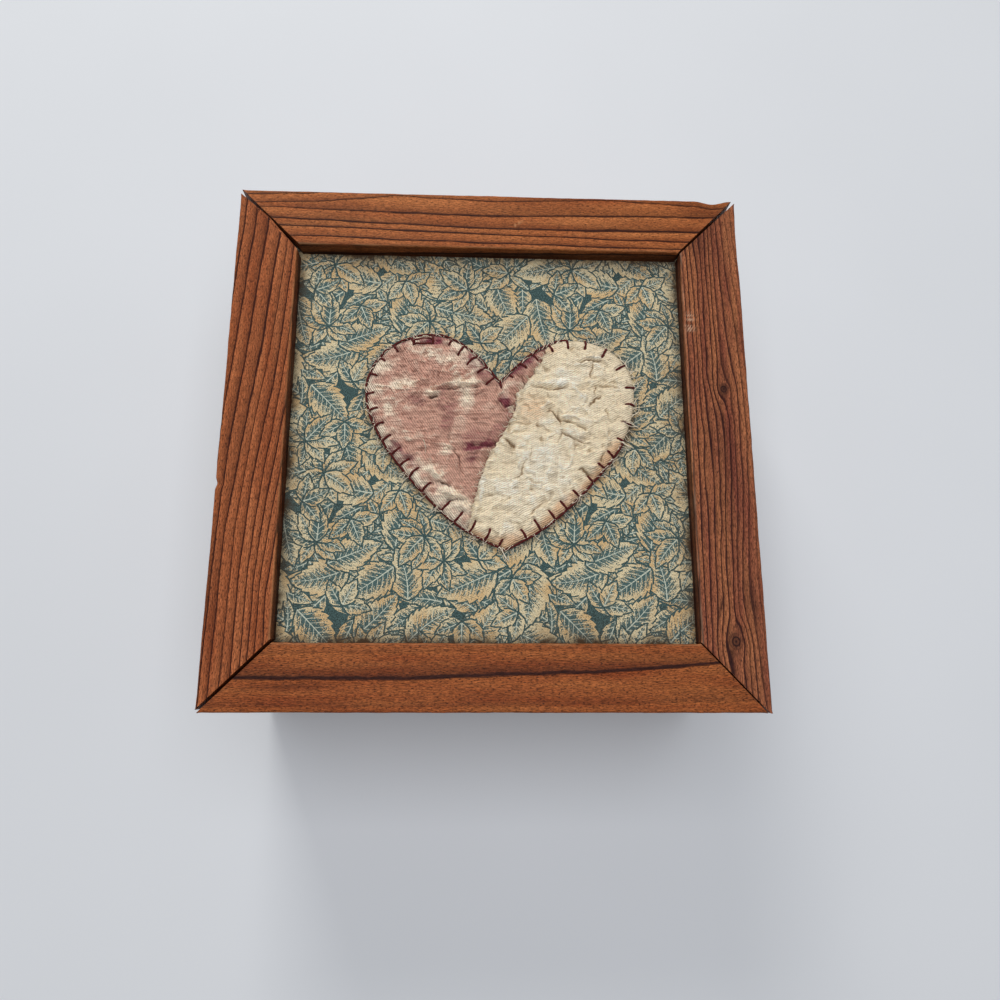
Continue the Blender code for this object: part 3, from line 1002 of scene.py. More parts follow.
@dataclass(frozen=True)
class Board:
    """A mitred board of the box: its section run along one side between its two mitres."""

    name: str
    side: Side
    base: float  # height of its underside above the table
    section: tuple  # corners (across, up) with the point spacing to the next one
    width: float
    ends: tuple  # shortfalls of the start and the end, as (share, mm)
    stride: float  # mm between two sections
    grain: Grain | LogGrain
    finish: StainedSoftwood
    run: float  # length of the side along its outer face
    across: float  # width of the box across that side
    wane: tuple = ()  # nicks in its outer edge: (along, half length, mm that is missing)
    marks: tuple = ()  # stains: (along, across, half length, half width, turn, strength)
    scratches: tuple = ()  # rubbed places: the same six
    top: float = THICK
    seed: int = 0

    NO_KNOT = 50.0  # distance from a knot that stands for none
    KNOT_DEPTH = 6.0  # mm that a knot goes down
    MARK_DEPTH = 2.5  # mm over which a mark fades down the board's side
    SOFT_WEAR = 0.09  # mm that early wood has sunk
    WAVES = 0.05  # mm of the planed face's waves
    NIBBLES = 0.16  # mm of dents in the arrises
    WHOLE_END = 1.2  # mm over which the worn hollows fade in from the mitres

    def loop(self) -> tuple[np.ndarray, np.ndarray]:
        """The section's points and their outward directions.

        Returns:
            Points (across, up), and unit vectors pointing out of the board.
        """
        corners = [np.array(c[:2], float) for c in self.section]
        points = []
        for (here, spec), there in zip(zip(corners, self.section), corners[1:] + corners[:1]):
            count = max(1, int(round(np.linalg.norm(there - here) / spec[2])))
            points += [here + (there - here) * i / count for i in range(count)]
        points = np.array(points)
        chord = np.roll(points, -1, axis=0) - np.roll(points, 1, axis=0)
        chord /= np.maximum(np.linalg.norm(chord, axis=1, keepdims=True), 1e-9)
        return points, np.stack([-chord[:, 1], chord[:, 0]], axis=1)

    def end_line(self, across: np.ndarray, direction: int) -> np.ndarray:
        """Where the mitre cuts the board.

        Args:
            across: Distances from the outer face.
            direction: 1 at the end that the side runs to, and -1 at its start.

        Returns:
            Places along the side.
        """
        shortfalls = self.ends[0 if direction < 0 else 1]
        half = 0.5 * self.run
        root = math.sqrt(0.5)
        places = [half - share * self.width - root * short for share, short in shortfalls]
        levels = [share * self.width - root * short for share, short in shortfalls]
        cuts = []
        for i in range(len(levels) - 1):
            rise = (places[i + 1] - places[i]) / (levels[i + 1] - levels[i])
            cuts.append(places[i] + rise * (across - levels[i]))
        return direction * np.minimum(np.min(cuts, axis=0), half)

    def place(self, local: np.ndarray) -> np.ndarray:
        """Turns points from the board's own axes to the box's.

        Args:
            local: Points as (along, across, up).

        Returns:
            The same points in the box's axes.
        """
        angle = 0.5 * math.pi * self.side.value
        along, depth = local[:, 0], local[:, 1] - 0.5 * self.across
        return np.stack([
            along * math.cos(angle) - depth * math.sin(angle),
            along * math.sin(angle) + depth * math.cos(angle),
            local[:, 2] + self.base,
        ], axis=1)

    def wear_and_shade(self, spots: np.ndarray, depth: np.ndarray) -> np.ndarray:
        """Soiling, painted shade on the rails' inner faces, rubbing and the distance from the
        nearest knot for points of the board.

        Args:
            spots: Points as (along, across).
            depth: How far each lies below the top.

        Returns:
            Three values for each point.
        """
        flat = np.stack([spots[:, 0] / 6.0, spots[:, 1], depth], axis=1)
        dirt_and_shade = 0.16 * smoothstep(noise(flat, 5.0, self.seed + 40, 2), 0.1, 0.9)
        rubbed = np.zeros(len(spots))
        shown = np.exp(-depth / self.MARK_DEPTH)
        for along, across, length, width, turn, amount in self.marks:
            dirt_and_shade += amount * blob(spots, (along, across), (length, width), turn) * shown
        for along, across, length, width, turn, amount in self.scratches:
            streaks = smoothstep(noise(spots / [[0.5, 7.0]], 1.0, self.seed + 70), 0.0, 0.6)
            rubbed += amount * streaks * blob(spots, (along, across), (length, width), turn) * shown
        inner = smoothstep(spots[:, 1], self.width - 1.1, self.width - 0.25)
        outer = smoothstep(-spots[:, 1], -0.9, -0.1)
        patchy = 0.5 + 0.5 * noise(flat, 1.4, self.seed + 60, 2)
        rubbed += (0.42 * inner + 0.10 * outer) * patchy * np.exp(-(depth / 0.7) ** 2)
        # the outer face is darker from just below its top edge downwards
        dirt_and_shade += 0.40 * outer * smoothstep(depth, 0.3, 2.0)
        # painted shade: a rail's inner face darkens from below its arris down to the cotton, with
        # some soiling
        if self.top == THICK:
            facing = smoothstep(spots[:, 1], self.width - 0.5, self.width - 0.1)
            dirt_and_shade += facing * (0.35 * smoothstep(depth, 0.6, 1.6) + 0.5 * smoothstep(depth, 2, 7))
        knot = np.full(len(spots), self.NO_KNOT)
        for along, across, size in getattr(self.grain, "knots", ()):
            away = np.hypot((spots[:, 0] - along) / 1.15, spots[:, 1] - across)
            knot = np.minimum(knot, away * 3.2 / size)
        knot = np.where(depth < self.KNOT_DEPTH, knot, self.NO_KNOT)
        return np.stack([np.clip(dirt_and_shade, 0, 1), np.clip(rubbed, 0, 1), knot], axis=1)

    def build(self) -> bpy.types.Object:
        """Builds and dresses the board.

        Returns:
            The piece, which stands for the solid of the same name.
        """
        loop, outward = self.loop()
        count = len(loop)
        start, end = self.end_line(loop[:, 0], -1), self.end_line(loop[:, 0], 1)
        sections = int(round(self.run / self.stride)) + 1
        share = np.linspace(0.0, 1.0, sections)
        along = start[None, :] + share[:, None] * (end - start)[None, :]
        across = np.tile(loop[:, 0], (sections, 1))
        up = np.tile(loop[:, 1], (sections, 1))
        spots = np.stack([along.ravel(), across.ravel()], axis=1)
        height = up.ravel()
        depth = self.top - height
        rings = self.grain.rings(spots, depth if isinstance(self.grain, Grain) else height)
        worn = self.wear_and_shade(spots, depth)

        turn = rings[:, 0] - np.floor(rings[:, 0])
        late = smoothstep(turn, 0.45, 0.9) * (1.0 - smoothstep(turn, 0.93, 1.0))
        stretched = np.stack([spots[:, 0] / 5.0, spots[:, 1], depth], axis=1)
        hollow = 0.02 + self.SOFT_WEAR * (1.0 - late * rings[:, 1])
        hollow += self.WAVES * (1.0 + noise(stretched, 3.0, self.seed + 11, 2))
        edge = np.minimum(spots[:, 1], self.width - spots[:, 1])
        nibbled = np.exp(-(edge + depth) / 0.9)
        hollow += self.NIBBLES * nibbled * (1.0 + noise(stretched, 0.8, self.seed + 12, 2))
        ends = np.repeat(np.minimum(share, 1.0 - share), count)
        hollow *= smoothstep(ends * self.run, 0.0, self.WHOLE_END)
        pulled = -hollow[:, None] * np.tile(outward, (sections, 1))
        local = np.stack([along.ravel(), spots[:, 1] + pulled[:, 0], height + pulled[:, 1]], axis=1)
        local[:, 2] = np.maximum(local[:, 2], 0.0)
        fade = np.maximum(0.0, 1.0 - local[:, 1] / (0.3 * self.width))
        drop = 0.35 + 0.65 * local[:, 2] / self.top
        for middle, half_length, dip in self.wane:
            reach = np.clip(np.abs(local[:, 0] - middle) / half_length, 0.0, 1.0)
            jagged = 1.0 + 0.25 * noise(stretched, 0.9, self.seed + 13)
            local[:, 1] += dip * np.cos(0.5 * math.pi * reach) ** 2 * fade * drop * jagged

        index = np.arange(sections * count).reshape(sections, count)
        nxt = np.roll(index, -1, axis=1)
        quads = np.stack([index[:-1], nxt[:-1], nxt[1:], index[1:]], axis=-1).reshape(-1, 4)
        flat_loop = [[Vector((*p, 0.0)) for p in loop]]
        cap = np.array([list(t) for t in tessellate_polygon(flat_loop)])
        far = cap + (sections - 1) * count
        faces = quads[:, ::-1].tolist() + cap[:, ::-1].tolist() + far.tolist()
        texture = np.stack([along.ravel() + 400.0 * self.seed, spots[:, 1], depth], axis=1)
        item = new_piece(self.name, self.place(local), faces, self.finish.material(),
                         {"board": texture, "grain": rings, "wear_and_shade": worn})
        settle_normals(item)
        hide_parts(self.name)
        return item


def settle_normals(item: bpy.types.Object) -> None:
    """Turns every face of a closed piece outwards and keeps its edges crisp.

    Args:
        item: The piece.
    """
    bm = bmesh.new()
    bm.from_mesh(item.data)
    bmesh.ops.recalc_face_normals(bm, faces=bm.faces)
    bm.to_mesh(item.data)
    bm.free()
    item.data.shade_smooth()
    item.data.set_sharp_from_angle(angle=math.radians(CRISP))


def quarter(centre: tuple, radius: float, start: float) -> list:
    """Corners of a rounded long edge, a quarter turn clockwise.

    Args:
        centre: Middle of its arc, as (across, up).
        radius: Radius of its arc.
        start: Degrees at which it starts.

    Returns:
        Corners of the section, each with the spacing to the next.
    """
    angles = [math.radians(start - 22.5 * i) for i in range(4)]
    return [(centre[0] + radius * math.cos(a), centre[1] + radius * math.sin(a), 0.35)
            for a in angles]


RAIL_SECTION = (
    (0.0, 0.0, 0.9),
    *quarter((ARRIS, THICK - ARRIS), ARRIS, 180.0),
    (ARRIS, THICK, 0.47),
    *quarter((RAIL - ARRIS, THICK - ARRIS), ARRIS, 90.0),
    (RAIL, THICK - ARRIS, 0.55),
    (RAIL, THICK - LIP, 1.8),
    (RAIL - REBATE, THICK - LIP, 2.4),
    (RAIL - REBATE, 0.0, 2.4),
)
WALL_SECTION = (
    (0.6, 0.0, 1.0),
    (0.0, 0.6, 1.25),
    (0.0, WALL_TOP - 0.6, 1.0),
    (0.6, WALL_TOP, 1.6),
    (THICK, WALL_TOP, 2.6),
    (THICK, PANEL + FIT, 2.4),
    (THICK - PANEL, PANEL + FIT, 2.4),
    (THICK - PANEL, 0.0, 2.4),
)

RAIL_ENDS = {
    Side.FRONT: (((0.0, 0.4), (1.0, 0.5)), ((0.0, 1.3), (1.0, 0.3))),
    Side.RIGHT: (((0.0, -0.8), (1.0, 0.3)), ((0.0, 0.6), (1.0, 0.4))),
    Side.BACK: (((0.0, 1.0), (1.0, 0.5)), ((0.0, 0.3), (1.0, 0.5))),
    Side.LEFT: (((0.0, 1.4), (0.52, 0.2), (1.0, 1.5)), ((0.0, 0.8), (1.0, 0.8))),
}
RAIL_WANE = {
    Side.FRONT: (),
    Side.RIGHT: ((82.5, 18.0, 0.5),),
    Side.BACK: ((-92.0, 7.5, 1.4),),
    Side.LEFT: ((20.5, 2.5, 0.7),),
}
RAIL_GRAIN = {
    Side.FRONT: Grain(
        lines=(
            ((-89, 1.6), (0, 1.2), (85, 3.0)),
            ((-89, 10.7), (-30, 10.3), (0, 11.4), (50, 13.5), (85, 16.4)),
            ((-89, 19.5), (0, 20.6), (85, 24.0)),
        ),
        strengths=(0.25, 0.25, 1.0, 0.25, 0.25), shares=(0.3, 0.3, 0.25, 0.3, 0.3),
        outer_gap=4.0, inner_gap=6.0, slope=-0.35, waviness=0.16, seed=3, flipped=True),
    Side.RIGHT: Grain(
        lines=(
            ((-95, 1.5), (-60, 2.5), (-20, 1.2), (10, 1.0), (40, 2.4), (95, 5.5)),
            ((-95, 3.2), (-60, 6.0), (-20, 3.8), (10, 3.0), (44, 4.2), (95, 8.0)),
            ((-95, 5.0), (-64, 8.2), (-20, 6.2), (10, 5.4), (40, 7.4), (95, 10.2)),
            ((-92, 7.0), (-66, 9.6), (-20, 8.5), (8, 7.6), (30, 11.2), (92, 12.0)),
            ((-88, 9.0), (-66, 11.3), (-20, 10.6), (6, 9.4), (26, 13.2), (88, 13.6)),
            ((-88, 14.0), (-66, 13.2), (-20, 12.4), (8, 12.6), (26, 15.0), (85, 15.2)),
            ((-84, 16.0), (-62, 15.4), (-20, 14.3), (8, 15.0), (26, 16.6), (82, 17.0)),
            ((-82, 18.0), (-58, 17.6), (-20, 16.8), (20, 17.8), (82, 18.8)),
            ((-80, 20.0), (-55, 19.6), (-20, 19.4), (20, 19.4), (78, 20.6)),
            ((-78, 22.0), (-50, 21.8), (0, 21.8), (30, 21.2), (76, 22.4)),
        ),
        strengths=(0.45, 0.7, 0.8, 0.7, 0.95, 1.0, 0.85, 1.0, 0.85, 0.95, 0.8, 0.8),
        shares=(0.5, 0.5, 0.5, 0.55, 0.5, 0.5, 0.5, 0.45, 0.5, 0.5, 0.5, 0.5),
        outer_gap=1.9, inner_gap=2.0, slope=-0.5, waviness=0.42, seed=11,
        knots=((-77.6, 11.7, 3.1), (-72.0, 11.2, 1.0), (19.5, 10.0, 2.4))),
    Side.BACK: Grain(
        lines=(
            ((-85, 3.2), (-40, 2.0), (0, 3.4), (40, 1.6), (75, 5.3)),
            ((-75, 9.1), (-40, 9.8), (0, 10.9), (40, 10.2), (75, 8.4)),
            ((-75, 16.3), (-40, 16.8), (0, 16.6), (40, 15.6), (75, 14.1)),
            ((-75, 19.9), (-40, 19.4), (0, 18.9), (40, 18.4), (75, 17.0)),
            ((-75, 23.4), (-40, 23.0), (0, 23.0), (40, 22.4), (75, 21.3)),
            ((-75, 26.0), (0, 26.0), (75, 24.1)),
        ),
        strengths=(0.75, 0.85, 1.0, 1.0, 0.95, 0.95, 0.8),
        shares=(0.3, 0.26, 0.26, 0.4, 0.3, 0.3, 0.3),
        outer_gap=3.6, inner_gap=3.0, slope=-0.6, waviness=0.30, seed=23),
    Side.LEFT: Grain(
        lines=(
            ((-89, 3.6), (-45, 0.2), (95, -6.0)),
            ((-89, 8.0), (-45, 4.6), (5, 0.4), (95, -2.4)),
            ((-86, 12.6), (-33, 8.3), (24, 3.3), (95, 1.1)),
            ((-81, 17.6), (-33, 14.0), (9, 9.0), (38, 5.4), (92, 4.7)),
            ((-78, 20.4), (-33, 17.0), (9, 12.2), (38, 8.9), (92, 8.6)),
            ((-76, 23.0), (-19, 19.7), (24, 14.0), (52, 11.9), (90, 12.0)),
            ((-76, 26.0), (-19, 22.4), (24, 17.4), (52, 14.8), (88, 14.6)),
            ((-76, 29.0), (-10, 24.6), (30, 19.8), (56, 17.4), (88, 17.0)),
            ((-76, 32.0), (0, 26.0), (36, 21.8), (60, 19.8), (86, 19.6)),
            ((-76, 35.0), (10, 27.0), (42, 24.0), (64, 22.2), (86, 22.4)),
        ),
        strengths=(0.85, 0.9, 1.0, 1.0, 0.75, 1.0, 0.85, 1.0, 0.9, 1.0, 0.9, 0.9),
        shares=(0.3, 0.28, 0.25, 0.25, 0.25, 0.26, 0.3, 0.3, 0.32, 0.3, 0.3, 0.3),
        outer_gap=4.2, inner_gap=2.4, slope=-0.5, waviness=0.18, seed=37),
}
RAIL_FINISH = {
    Side.FRONT: StainedSoftwood("stained_pine_front", "#ab6232", "#8f451f", "#35130a", "#280c05",
                                "#c4946a", fibre=0.56, speck=0.78),
    Side.RIGHT: StainedSoftwood("stained_pine_right", "#b57148", "#8c4a35", "#37130e", "#260b07",
                                "#cfa88a", fibre=0.56, speck=0.66),
    Side.BACK: StainedSoftwood("stained_pine_back", "#c07440", "#a4582c", "#3a1506", "#280c04",
                               "#cd9768", fibre=0.50, speck=0.62),
    Side.LEFT: StainedSoftwood("stained_pine_left", "#bd6f42", "#a0542d", "#3b1204", "#280b04",
                               "#cd9869", fibre=0.52, speck=0.70),
}
RAIL_MARKS = {
    Side.FRONT: ((-70, 9.0, 16, 1.1, 2, 0.5), (-84, 12.0, 6, 0.8, 0, 0.4)),
    Side.RIGHT: ((-64.2, 16.1, 4.2, 0.55, -15, 1.0), (-63, 4.5, 7, 2.4, 10, 0.40),
                 (-77.6, 11.7, 5.0, 3.2, 0, 0.55), (44, 3.6, 5, 1.6, 5, 0.40),
                 (19.5, 10.0, 2.2, 1.6, 0, 0.9), (84, 16.0, 12, 4.5, 0, 0.30),
                 (26, 9.0, 7.0, 2.4, 12, 0.35), (-25, 12.0, 26, 6.0, 0, 0.22)),
    Side.BACK: ((-90, 6.0, 12, 4.0, 0, 0.22),),
    Side.LEFT: ((60, 2.5, 20, 2.0, 0, 0.25),),
}
RAIL_SCRATCHES = {
    Side.FRONT: (),
    Side.RIGHT: ((47.5, 22.0, 4.0, 1.9, 0, 1.4),),
    Side.BACK: ((-10, 13.7, 4.0, 0.5, 35, 0.7),),
    Side.LEFT: (),
}
WALL_GRAIN = {
    Side.FRONT: LogGrain(30.0, 34.0, 9.0, 3.6, 2.4, 101),
    Side.RIGHT: LogGrain(-18.0, 22.0, 14.0, 3.1, 1.8, 113),
    Side.BACK: LogGrain(52.0, 26.0, -10.0, 3.4, 2.2, 127),
    Side.LEFT: LogGrain(96.0, 18.0, -6.0, 2.9, 1.6, 139),
}


@dataclass
class MitredBoards:
    """The four rails of the lid and the four walls of the box."""

    width: float
    depth: float
    rail_base: float

    def span(self, side: Side) -> dict:
        """Measures of the box seen from a side.

        Args:
            side: The side.

        Returns:
            Its length as "run", and the box's width across it as "across".
        """
        facing = side in (Side.FRONT, Side.BACK)
        return {"run": self.width if facing else self.depth,
                "across": self.depth if facing else self.width}

    def rails(self) -> list:
        """Builds the lid's frame, a rail on each side.

        Returns:
            The four pieces.
        """
        return [
            Board(f"lid_rail_{side.name.lower()}", side, self.rail_base, RAIL_SECTION, RAIL,
                  RAIL_ENDS[side], 0.8, RAIL_GRAIN[side], RAIL_FINISH[side],
                  wane=RAIL_WANE[side], marks=RAIL_MARKS[side], scratches=RAIL_SCRATCHES[side],
                  top=THICK, seed=side.value + 1, **self.span(side)).build()
            for side in Side
        ]

    def walls(self) -> list:
        """Builds the box's walls, plainer than the lid.

        Returns:
            The four pieces.
        """
        shortfall = ((0.0, 0.5 * FIT), (1.0, 0.5 * FIT))
        return [
            Board(f"box_wall_{side.name.lower()}", side, 0.0, WALL_SECTION, THICK,
                  (shortfall, shortfall), 1.6, WALL_GRAIN[side], RAIL_FINISH[side],
                  top=WALL_TOP, seed=side.value + 11, **self.span(side)).build()
            for side in Side
        ]


# --- panels ---
@dataclass
class BarePanels:
    """The lid's board and the bottom, which keep the solids' own shapes."""

    finish: StainedSoftwood = StainedSoftwood(
        "bare_pine_panel", "#b08a62", "#9d7650", "#7d5433", "#4c2f1c", "#c9a882",
        fibre=0.45, speck=0.4, roughness=0.6)

    def dress(self) -> list:
        """Gives both panels a plain pine finish that follows their length.

        Returns:
            The two carried-over solids.
        """
        material = self.finish.material()
        found = []
        for name in ("lid_board", "box_bottom"):
            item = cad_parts[name]
            spots = np.array([v.co for v in item.data.vertices]) / MM
            grain = LogGrain(40.0, 30.0, 8.0, 4.0, 2.0, 201)
            rings = grain.rings(spots[:, [1, 2]], spots[:, 0])
            wear_and_shade = np.zeros_like(spots)
            wear_and_shade[:, 2] = Board.NO_KNOT
            values = {"board": spots[:, [1, 0, 2]], "grain": rings, "wear_and_shade": wear_and_shade}
            store(item.data, "POINT", values)
            item.data.materials.clear()
            item.data.materials.append(material)
            LOG.info("%s: dressed", name)
            found.append(item)
        return found


# --- the printed cotton ---
LEAF_SWELL = 0.72  # under 1 it moves a leaf's widest place towards its base


@dataclass(frozen=True)
class Leaf:
    """One printed leaf: where its base is, which way it points, its size and how it bends."""

    x: float
    y: float
    turn: float  # radians from +x to its midrib
    length: float
    width: float
    teeth: int  # on each side
    bend: float  # curvature of its midrib, 1/mm
    seed: float  # how dark its shading is, from -0.5 to 0.5

    def outline(self, spare: float) -> np.ndarray:
        """The leaf's saw-toothed edge, moved outwards by some spare.

        Args:
            spare: How far the edge is moved out, in millimetres.

        Returns:
            Points of the closed edge, anticlockwise.
        """
        upper = [(0.0, 0.10)]
        for tooth in range(self.teeth):
            here, there = tooth / self.teeth, (tooth + 1) / self.teeth
            upper.append((here + 0.10 / self.teeth, self.half(here + 0.1 / self.teeth) * 0.90))
            upper.append((here + 0.62 / self.teeth, self.half(here + 0.62 / self.teeth) * 1.02))
            if tooth < self.teeth - 1:
                upper.append((there + 0.10 / self.teeth, self.half(there) * 1.10))
        upper = np.array(upper)
        place = upper[:, 0] * (self.length + 2.0 * spare) - spare
        aside = upper[:, 1] + spare
        tip = [[self.length + 1.6 * spare, 0.0]]
        one = np.stack([place, aside], axis=1)
        other = np.stack([place, -aside], axis=1)
        return self.bent(np.vstack([other, tip, one[::-1]]))

    def half(self, share: float) -> float:
        """Half the leaf's width at a share of its length, from 0 to 1."""
        return 0.5 * self.width * math.sin(math.pi * min(share, 1.0) ** LEAF_SWELL)

    def bent(self, local: np.ndarray) -> np.ndarray:
        """Moves points from the leaf's own axes to the cloth.

        Args:
            local: Points along and across its midrib.

        Returns:
            The same points on the cloth.
        """
        radius = 1.0 / self.bend
        angle = local[:, 0] * self.bend
        px = (radius - local[:, 1]) * np.sin(angle)
        py = radius - (radius - local[:, 1]) * np.cos(angle)
        c, s = math.cos(self.turn), math.sin(self.turn)
        return np.stack([self.x + px * c - py * s, self.y + px * s + py * c], axis=1)

    def local(self, spots: np.ndarray) -> np.ndarray:
        """Moves points from the cloth to the leaf's own axes.

        Args:
            spots: Points on the cloth.

        Returns:
            The same points along and across its midrib.
        """
        c, s = math.cos(self.turn), math.sin(self.turn)
        dx, dy = spots[:, 0] - self.x, spots[:, 1] - self.y
        px, py = dx * c + dy * s, dy * c - dx * s
        radius = 1.0 / self.bend
        sign = 1.0 if radius > 0 else -1.0
        vy = py - radius
        along = radius * np.arctan2(sign * px, -sign * vy)
        return np.stack([along, radius - sign * np.hypot(px, vy)], axis=1)


@dataclass
class LeafPrint:
    """The cotton with its leaves, cut along every leaf's edge so that the print stays sharp."""

    width: float
    depth: float
    top: float
    thickness: float
    heart: np.ndarray  # edge of the heart that lies on it
    finish: PrintedCotton = PrintedCotton()

    REPEAT = (97.0, 88.0)  # mm from one copy of the design to the next
    OUTLINE = 0.55  # mm of teal line round a leaf
    LATTICE = 3.4  # mm between points inside large leaves
    INSET = 1.3  # mm from the cloth's edge to the first of them
    ALL_INK = (10.0, 5.0, 1.0)  # form of the cloth between leaves
    FILLERS, SPRIGS, BIG, PALMS, TREFOILS = 94, 16, 24, 8, 12
    SEED = 20

    def sprays(self) -> list:
        """One repeat of the design, from the leaves at the back to those on top.

        Returns:
            Leaves, later ones over earlier ones.
        """
        rng = np.random.default_rng(self.SEED)
        leaves: list[Leaf] = []

        def spots(count: int, avoid: list) -> list:
            """Spreads places evenly over the repeat.

            Args:
                count: Number of places.
                avoid: Other places that they stay away from.

            Returns:
                The new places.
            """
            found = list(avoid)
            for _ in range(count):
                tries = rng.uniform(0.0, 1.0, (24, 2)) * self.REPEAT
                if found:
                    gap = np.abs(tries[:, None] - np.array(found)[None])
                    gap = np.minimum(gap, np.array(self.REPEAT) - gap)
                    tries = tries[[np.argmax(np.linalg.norm(gap, axis=2).min(1))]]
                found.append(tuple(tries[0]))
            return found[len(avoid):]

        def leaf(x: float, y: float, turn: float, length: float, ratio: float,
                 teeth: int) -> None:
            """Adds a leaf that bends a little.

            Args:
                x: Place of its base.
                y: The same, across.
                turn: Which way it points, in radians.
                length: Its length.
                ratio: Its width for each millimetre of length.
                teeth: Teeth on each side.
            """
            bend = rng.uniform(-0.6, 0.6) / length
            bend = bend if abs(bend) > 1e-3 else 1e-3
            leaves.append(Leaf(x, y, turn, length, ratio * length, teeth, bend,
                               rng.uniform(-0.5, 0.5)))

        for x, y in spots(self.FILLERS, []):
            turn = rng.uniform(0, 2 * math.pi)
            leaf(x - 6 * math.cos(turn), y - 6 * math.sin(turn), turn, rng.uniform(13, 17),
                 rng.uniform(0.42, 0.55), int(rng.integers(2, 5)))
        for x, y in spots(self.SPRIGS, []):
            turn = rng.uniform(0, 2 * math.pi)
            for step in range(3):
                for hand in (-1, 1):
                    reach = 4.2 * step
                    leaf(x + reach * math.cos(turn), y + reach * math.sin(turn),
                         turn + hand * rng.uniform(0.6, 0.85), rng.uniform(9.0, 12.0), 0.40, 1)
            leaf(x + 11.0 * math.cos(turn), y + 11.0 * math.sin(turn), turn, 11.0, 0.40, 1)
        big = spots(self.BIG, [])
        for x, y in big:
            turn = rng.uniform(0, 2 * math.pi)
            length = rng.uniform(20.0, 25.0)
            leaf(x - 0.5 * length * math.cos(turn), y - 0.5 * length * math.sin(turn), turn,
                 length, rng.uniform(0.50, 0.62), int(rng.integers(7, 10)))
        palms = spots(self.PALMS, big)
        for x, y in palms:
            turn = rng.uniform(0, 2 * math.pi)
            for lobe in (3, -3, 2, -2, 1, -1, 0):
                leaf(x, y, turn + lobe * 0.80, 14.0 - 1.2 * abs(lobe), 0.50, 3)
        for x, y in spots(self.TREFOILS, big + palms):
            turn = rng.uniform(0, 2 * math.pi)
            for lobe in (1.2, -1.2, 0.0):
                leaf(x, y, turn + lobe, 10.5, 0.58, 3)
        return leaves

    def copies(self) -> list:
        """Repeats the design over the whole cloth.

        Returns:
            All the leaves that reach it, later ones over earlier ones.
        """
        reach_x = math.ceil(0.5 * self.width / self.REPEAT[0])
        reach_y = math.ceil(0.5 * self.depth / self.REPEAT[1])
        found = []
        for leaf in self.sprays():
            for i in range(-reach_x - 1, reach_x + 1):
                for j in range(-reach_y - 1, reach_y + 1):
                    copy = replace(leaf, x=leaf.x + i * self.REPEAT[0],
                                   y=leaf.y + j * self.REPEAT[1])
                    edge = np.abs(copy.outline(0.0))
                    if ((edge[:, 0] < 0.5 * self.width) & (edge[:, 1] < 0.5 * self.depth)).any():
                        found.append(copy)
        return found

    def build(self) -> bpy.types.Object:
        """Cuts the cloth along its leaves, gives it its thickness and dresses it.

        Returns:
            The piece, a sheet that lies over the lid's board.
        """
        half = np.array([0.5 * self.width, 0.5 * self.depth])
        border = [(-half[0], -half[1]), (half[0], -half[1]), (half[0], half[1]),
                  (-half[0], half[1])]
        leaves = self.copies()
        grid_x, grid_y = (np.arange(self.INSET - h, h, self.LATTICE) for h in half)
        points = list(border)
        polygons = [[0, 1, 2, 3]]
        for leaf in leaves:
            for spare in (self.OUTLINE, 0.0):
                edge = leaf.outline(spare)
                polygons.append(list(range(len(points), len(points) + len(edge))))
                points += [tuple(p) for p in edge]
        points += [(x, y) for x in grid_x for y in grid_y]
        spots, kept, tops = cut_plane(points, polygons, 1e-4)
        LOG.info("leaf print: %d leaves", len(leaves))

        flat = spots[np.array(kept).ravel()].reshape(-1, 3, 2)
        tops = np.array(tops)
        leaf_values = np.zeros((len(kept), 3, 3))
        form_values = np.tile(self.ALL_INK, (len(kept), 3, 1))
        for index in np.unique(tops):
            if index == 0 or index % 2 == 1:  # the ground, or the line round a leaf
                continue
            leaf = leaves[(index - 2) // 2]
            chosen = np.flatnonzero(tops == index)
            local = leaf.local(flat[chosen].reshape(-1, 2)).reshape(-1, 3, 2)
            leaf_values[chosen, :, :2] = local
            leaf_values[chosen, :, 2] = leaf.seed
            form_values[chosen] = [leaf.length, leaf.width, 0.0]

        edge = np.minimum(half[0] - REBATE - np.abs(flat[..., 0]),
                          half[1] - REBATE - np.abs(flat[..., 1]))
        flat_spots = flat.reshape(-1, 2)
        patchy = 1.0 + 0.5 * noise(flat_spots, 7.0, 77, 2).reshape(edge.shape)
        # darker near the rails' inner faces: soiling and painted shade in that corner
        soil_and_shade = 0.72 * np.exp(-np.maximum(edge, 0.0) / 3.4) * patchy
        soil_and_shade += 0.10 * smoothstep(noise(flat_spots, 22.0, 78, 2), 0.1, 0.8).reshape(edge.shape)
        # a painted shadow round the heart, darker in front of it
        around = line_distance(flat_spots, self.heart[::5]).reshape(edge.shape)
        below = smoothstep(-flat[..., 1], -34.0, 4.0)
        soil_and_shade += (0.28 + 0.42 * below) * np.exp(-(around / 2.6) ** 2) * patchy
        place = np.concatenate([flat, soil_and_shade[..., None]], axis=2)

        ring = self._border(spots, half)
        spots3 = np.column_stack([spots, np.full(len(spots), self.top)])
        low = np.column_stack([spots[ring], np.full(len(ring), self.top - self.thickness)])
        hidden = closed_below(ring, len(spots))
        extra = sum(len(face) for face in hidden)
        corner_leaf = np.vstack([leaf_values.reshape(-1, 3), np.zeros((extra, 3))])
        corner_form = np.vstack([form_values.reshape(-1, 3), np.tile(self.ALL_INK, (extra, 1))])
        corner_place = np.vstack([place.reshape(-1, 3), np.zeros((extra, 3))])
        item = new_piece("lid_print_cotton_leaves", np.vstack([spots3, low]), kept + hidden,
                         self.finish.material(),
                         corners={"leaf": corner_leaf, "form": corner_form, "place": corner_place},
                         smooth=False)
        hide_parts("lid_print_cotton")
        return item

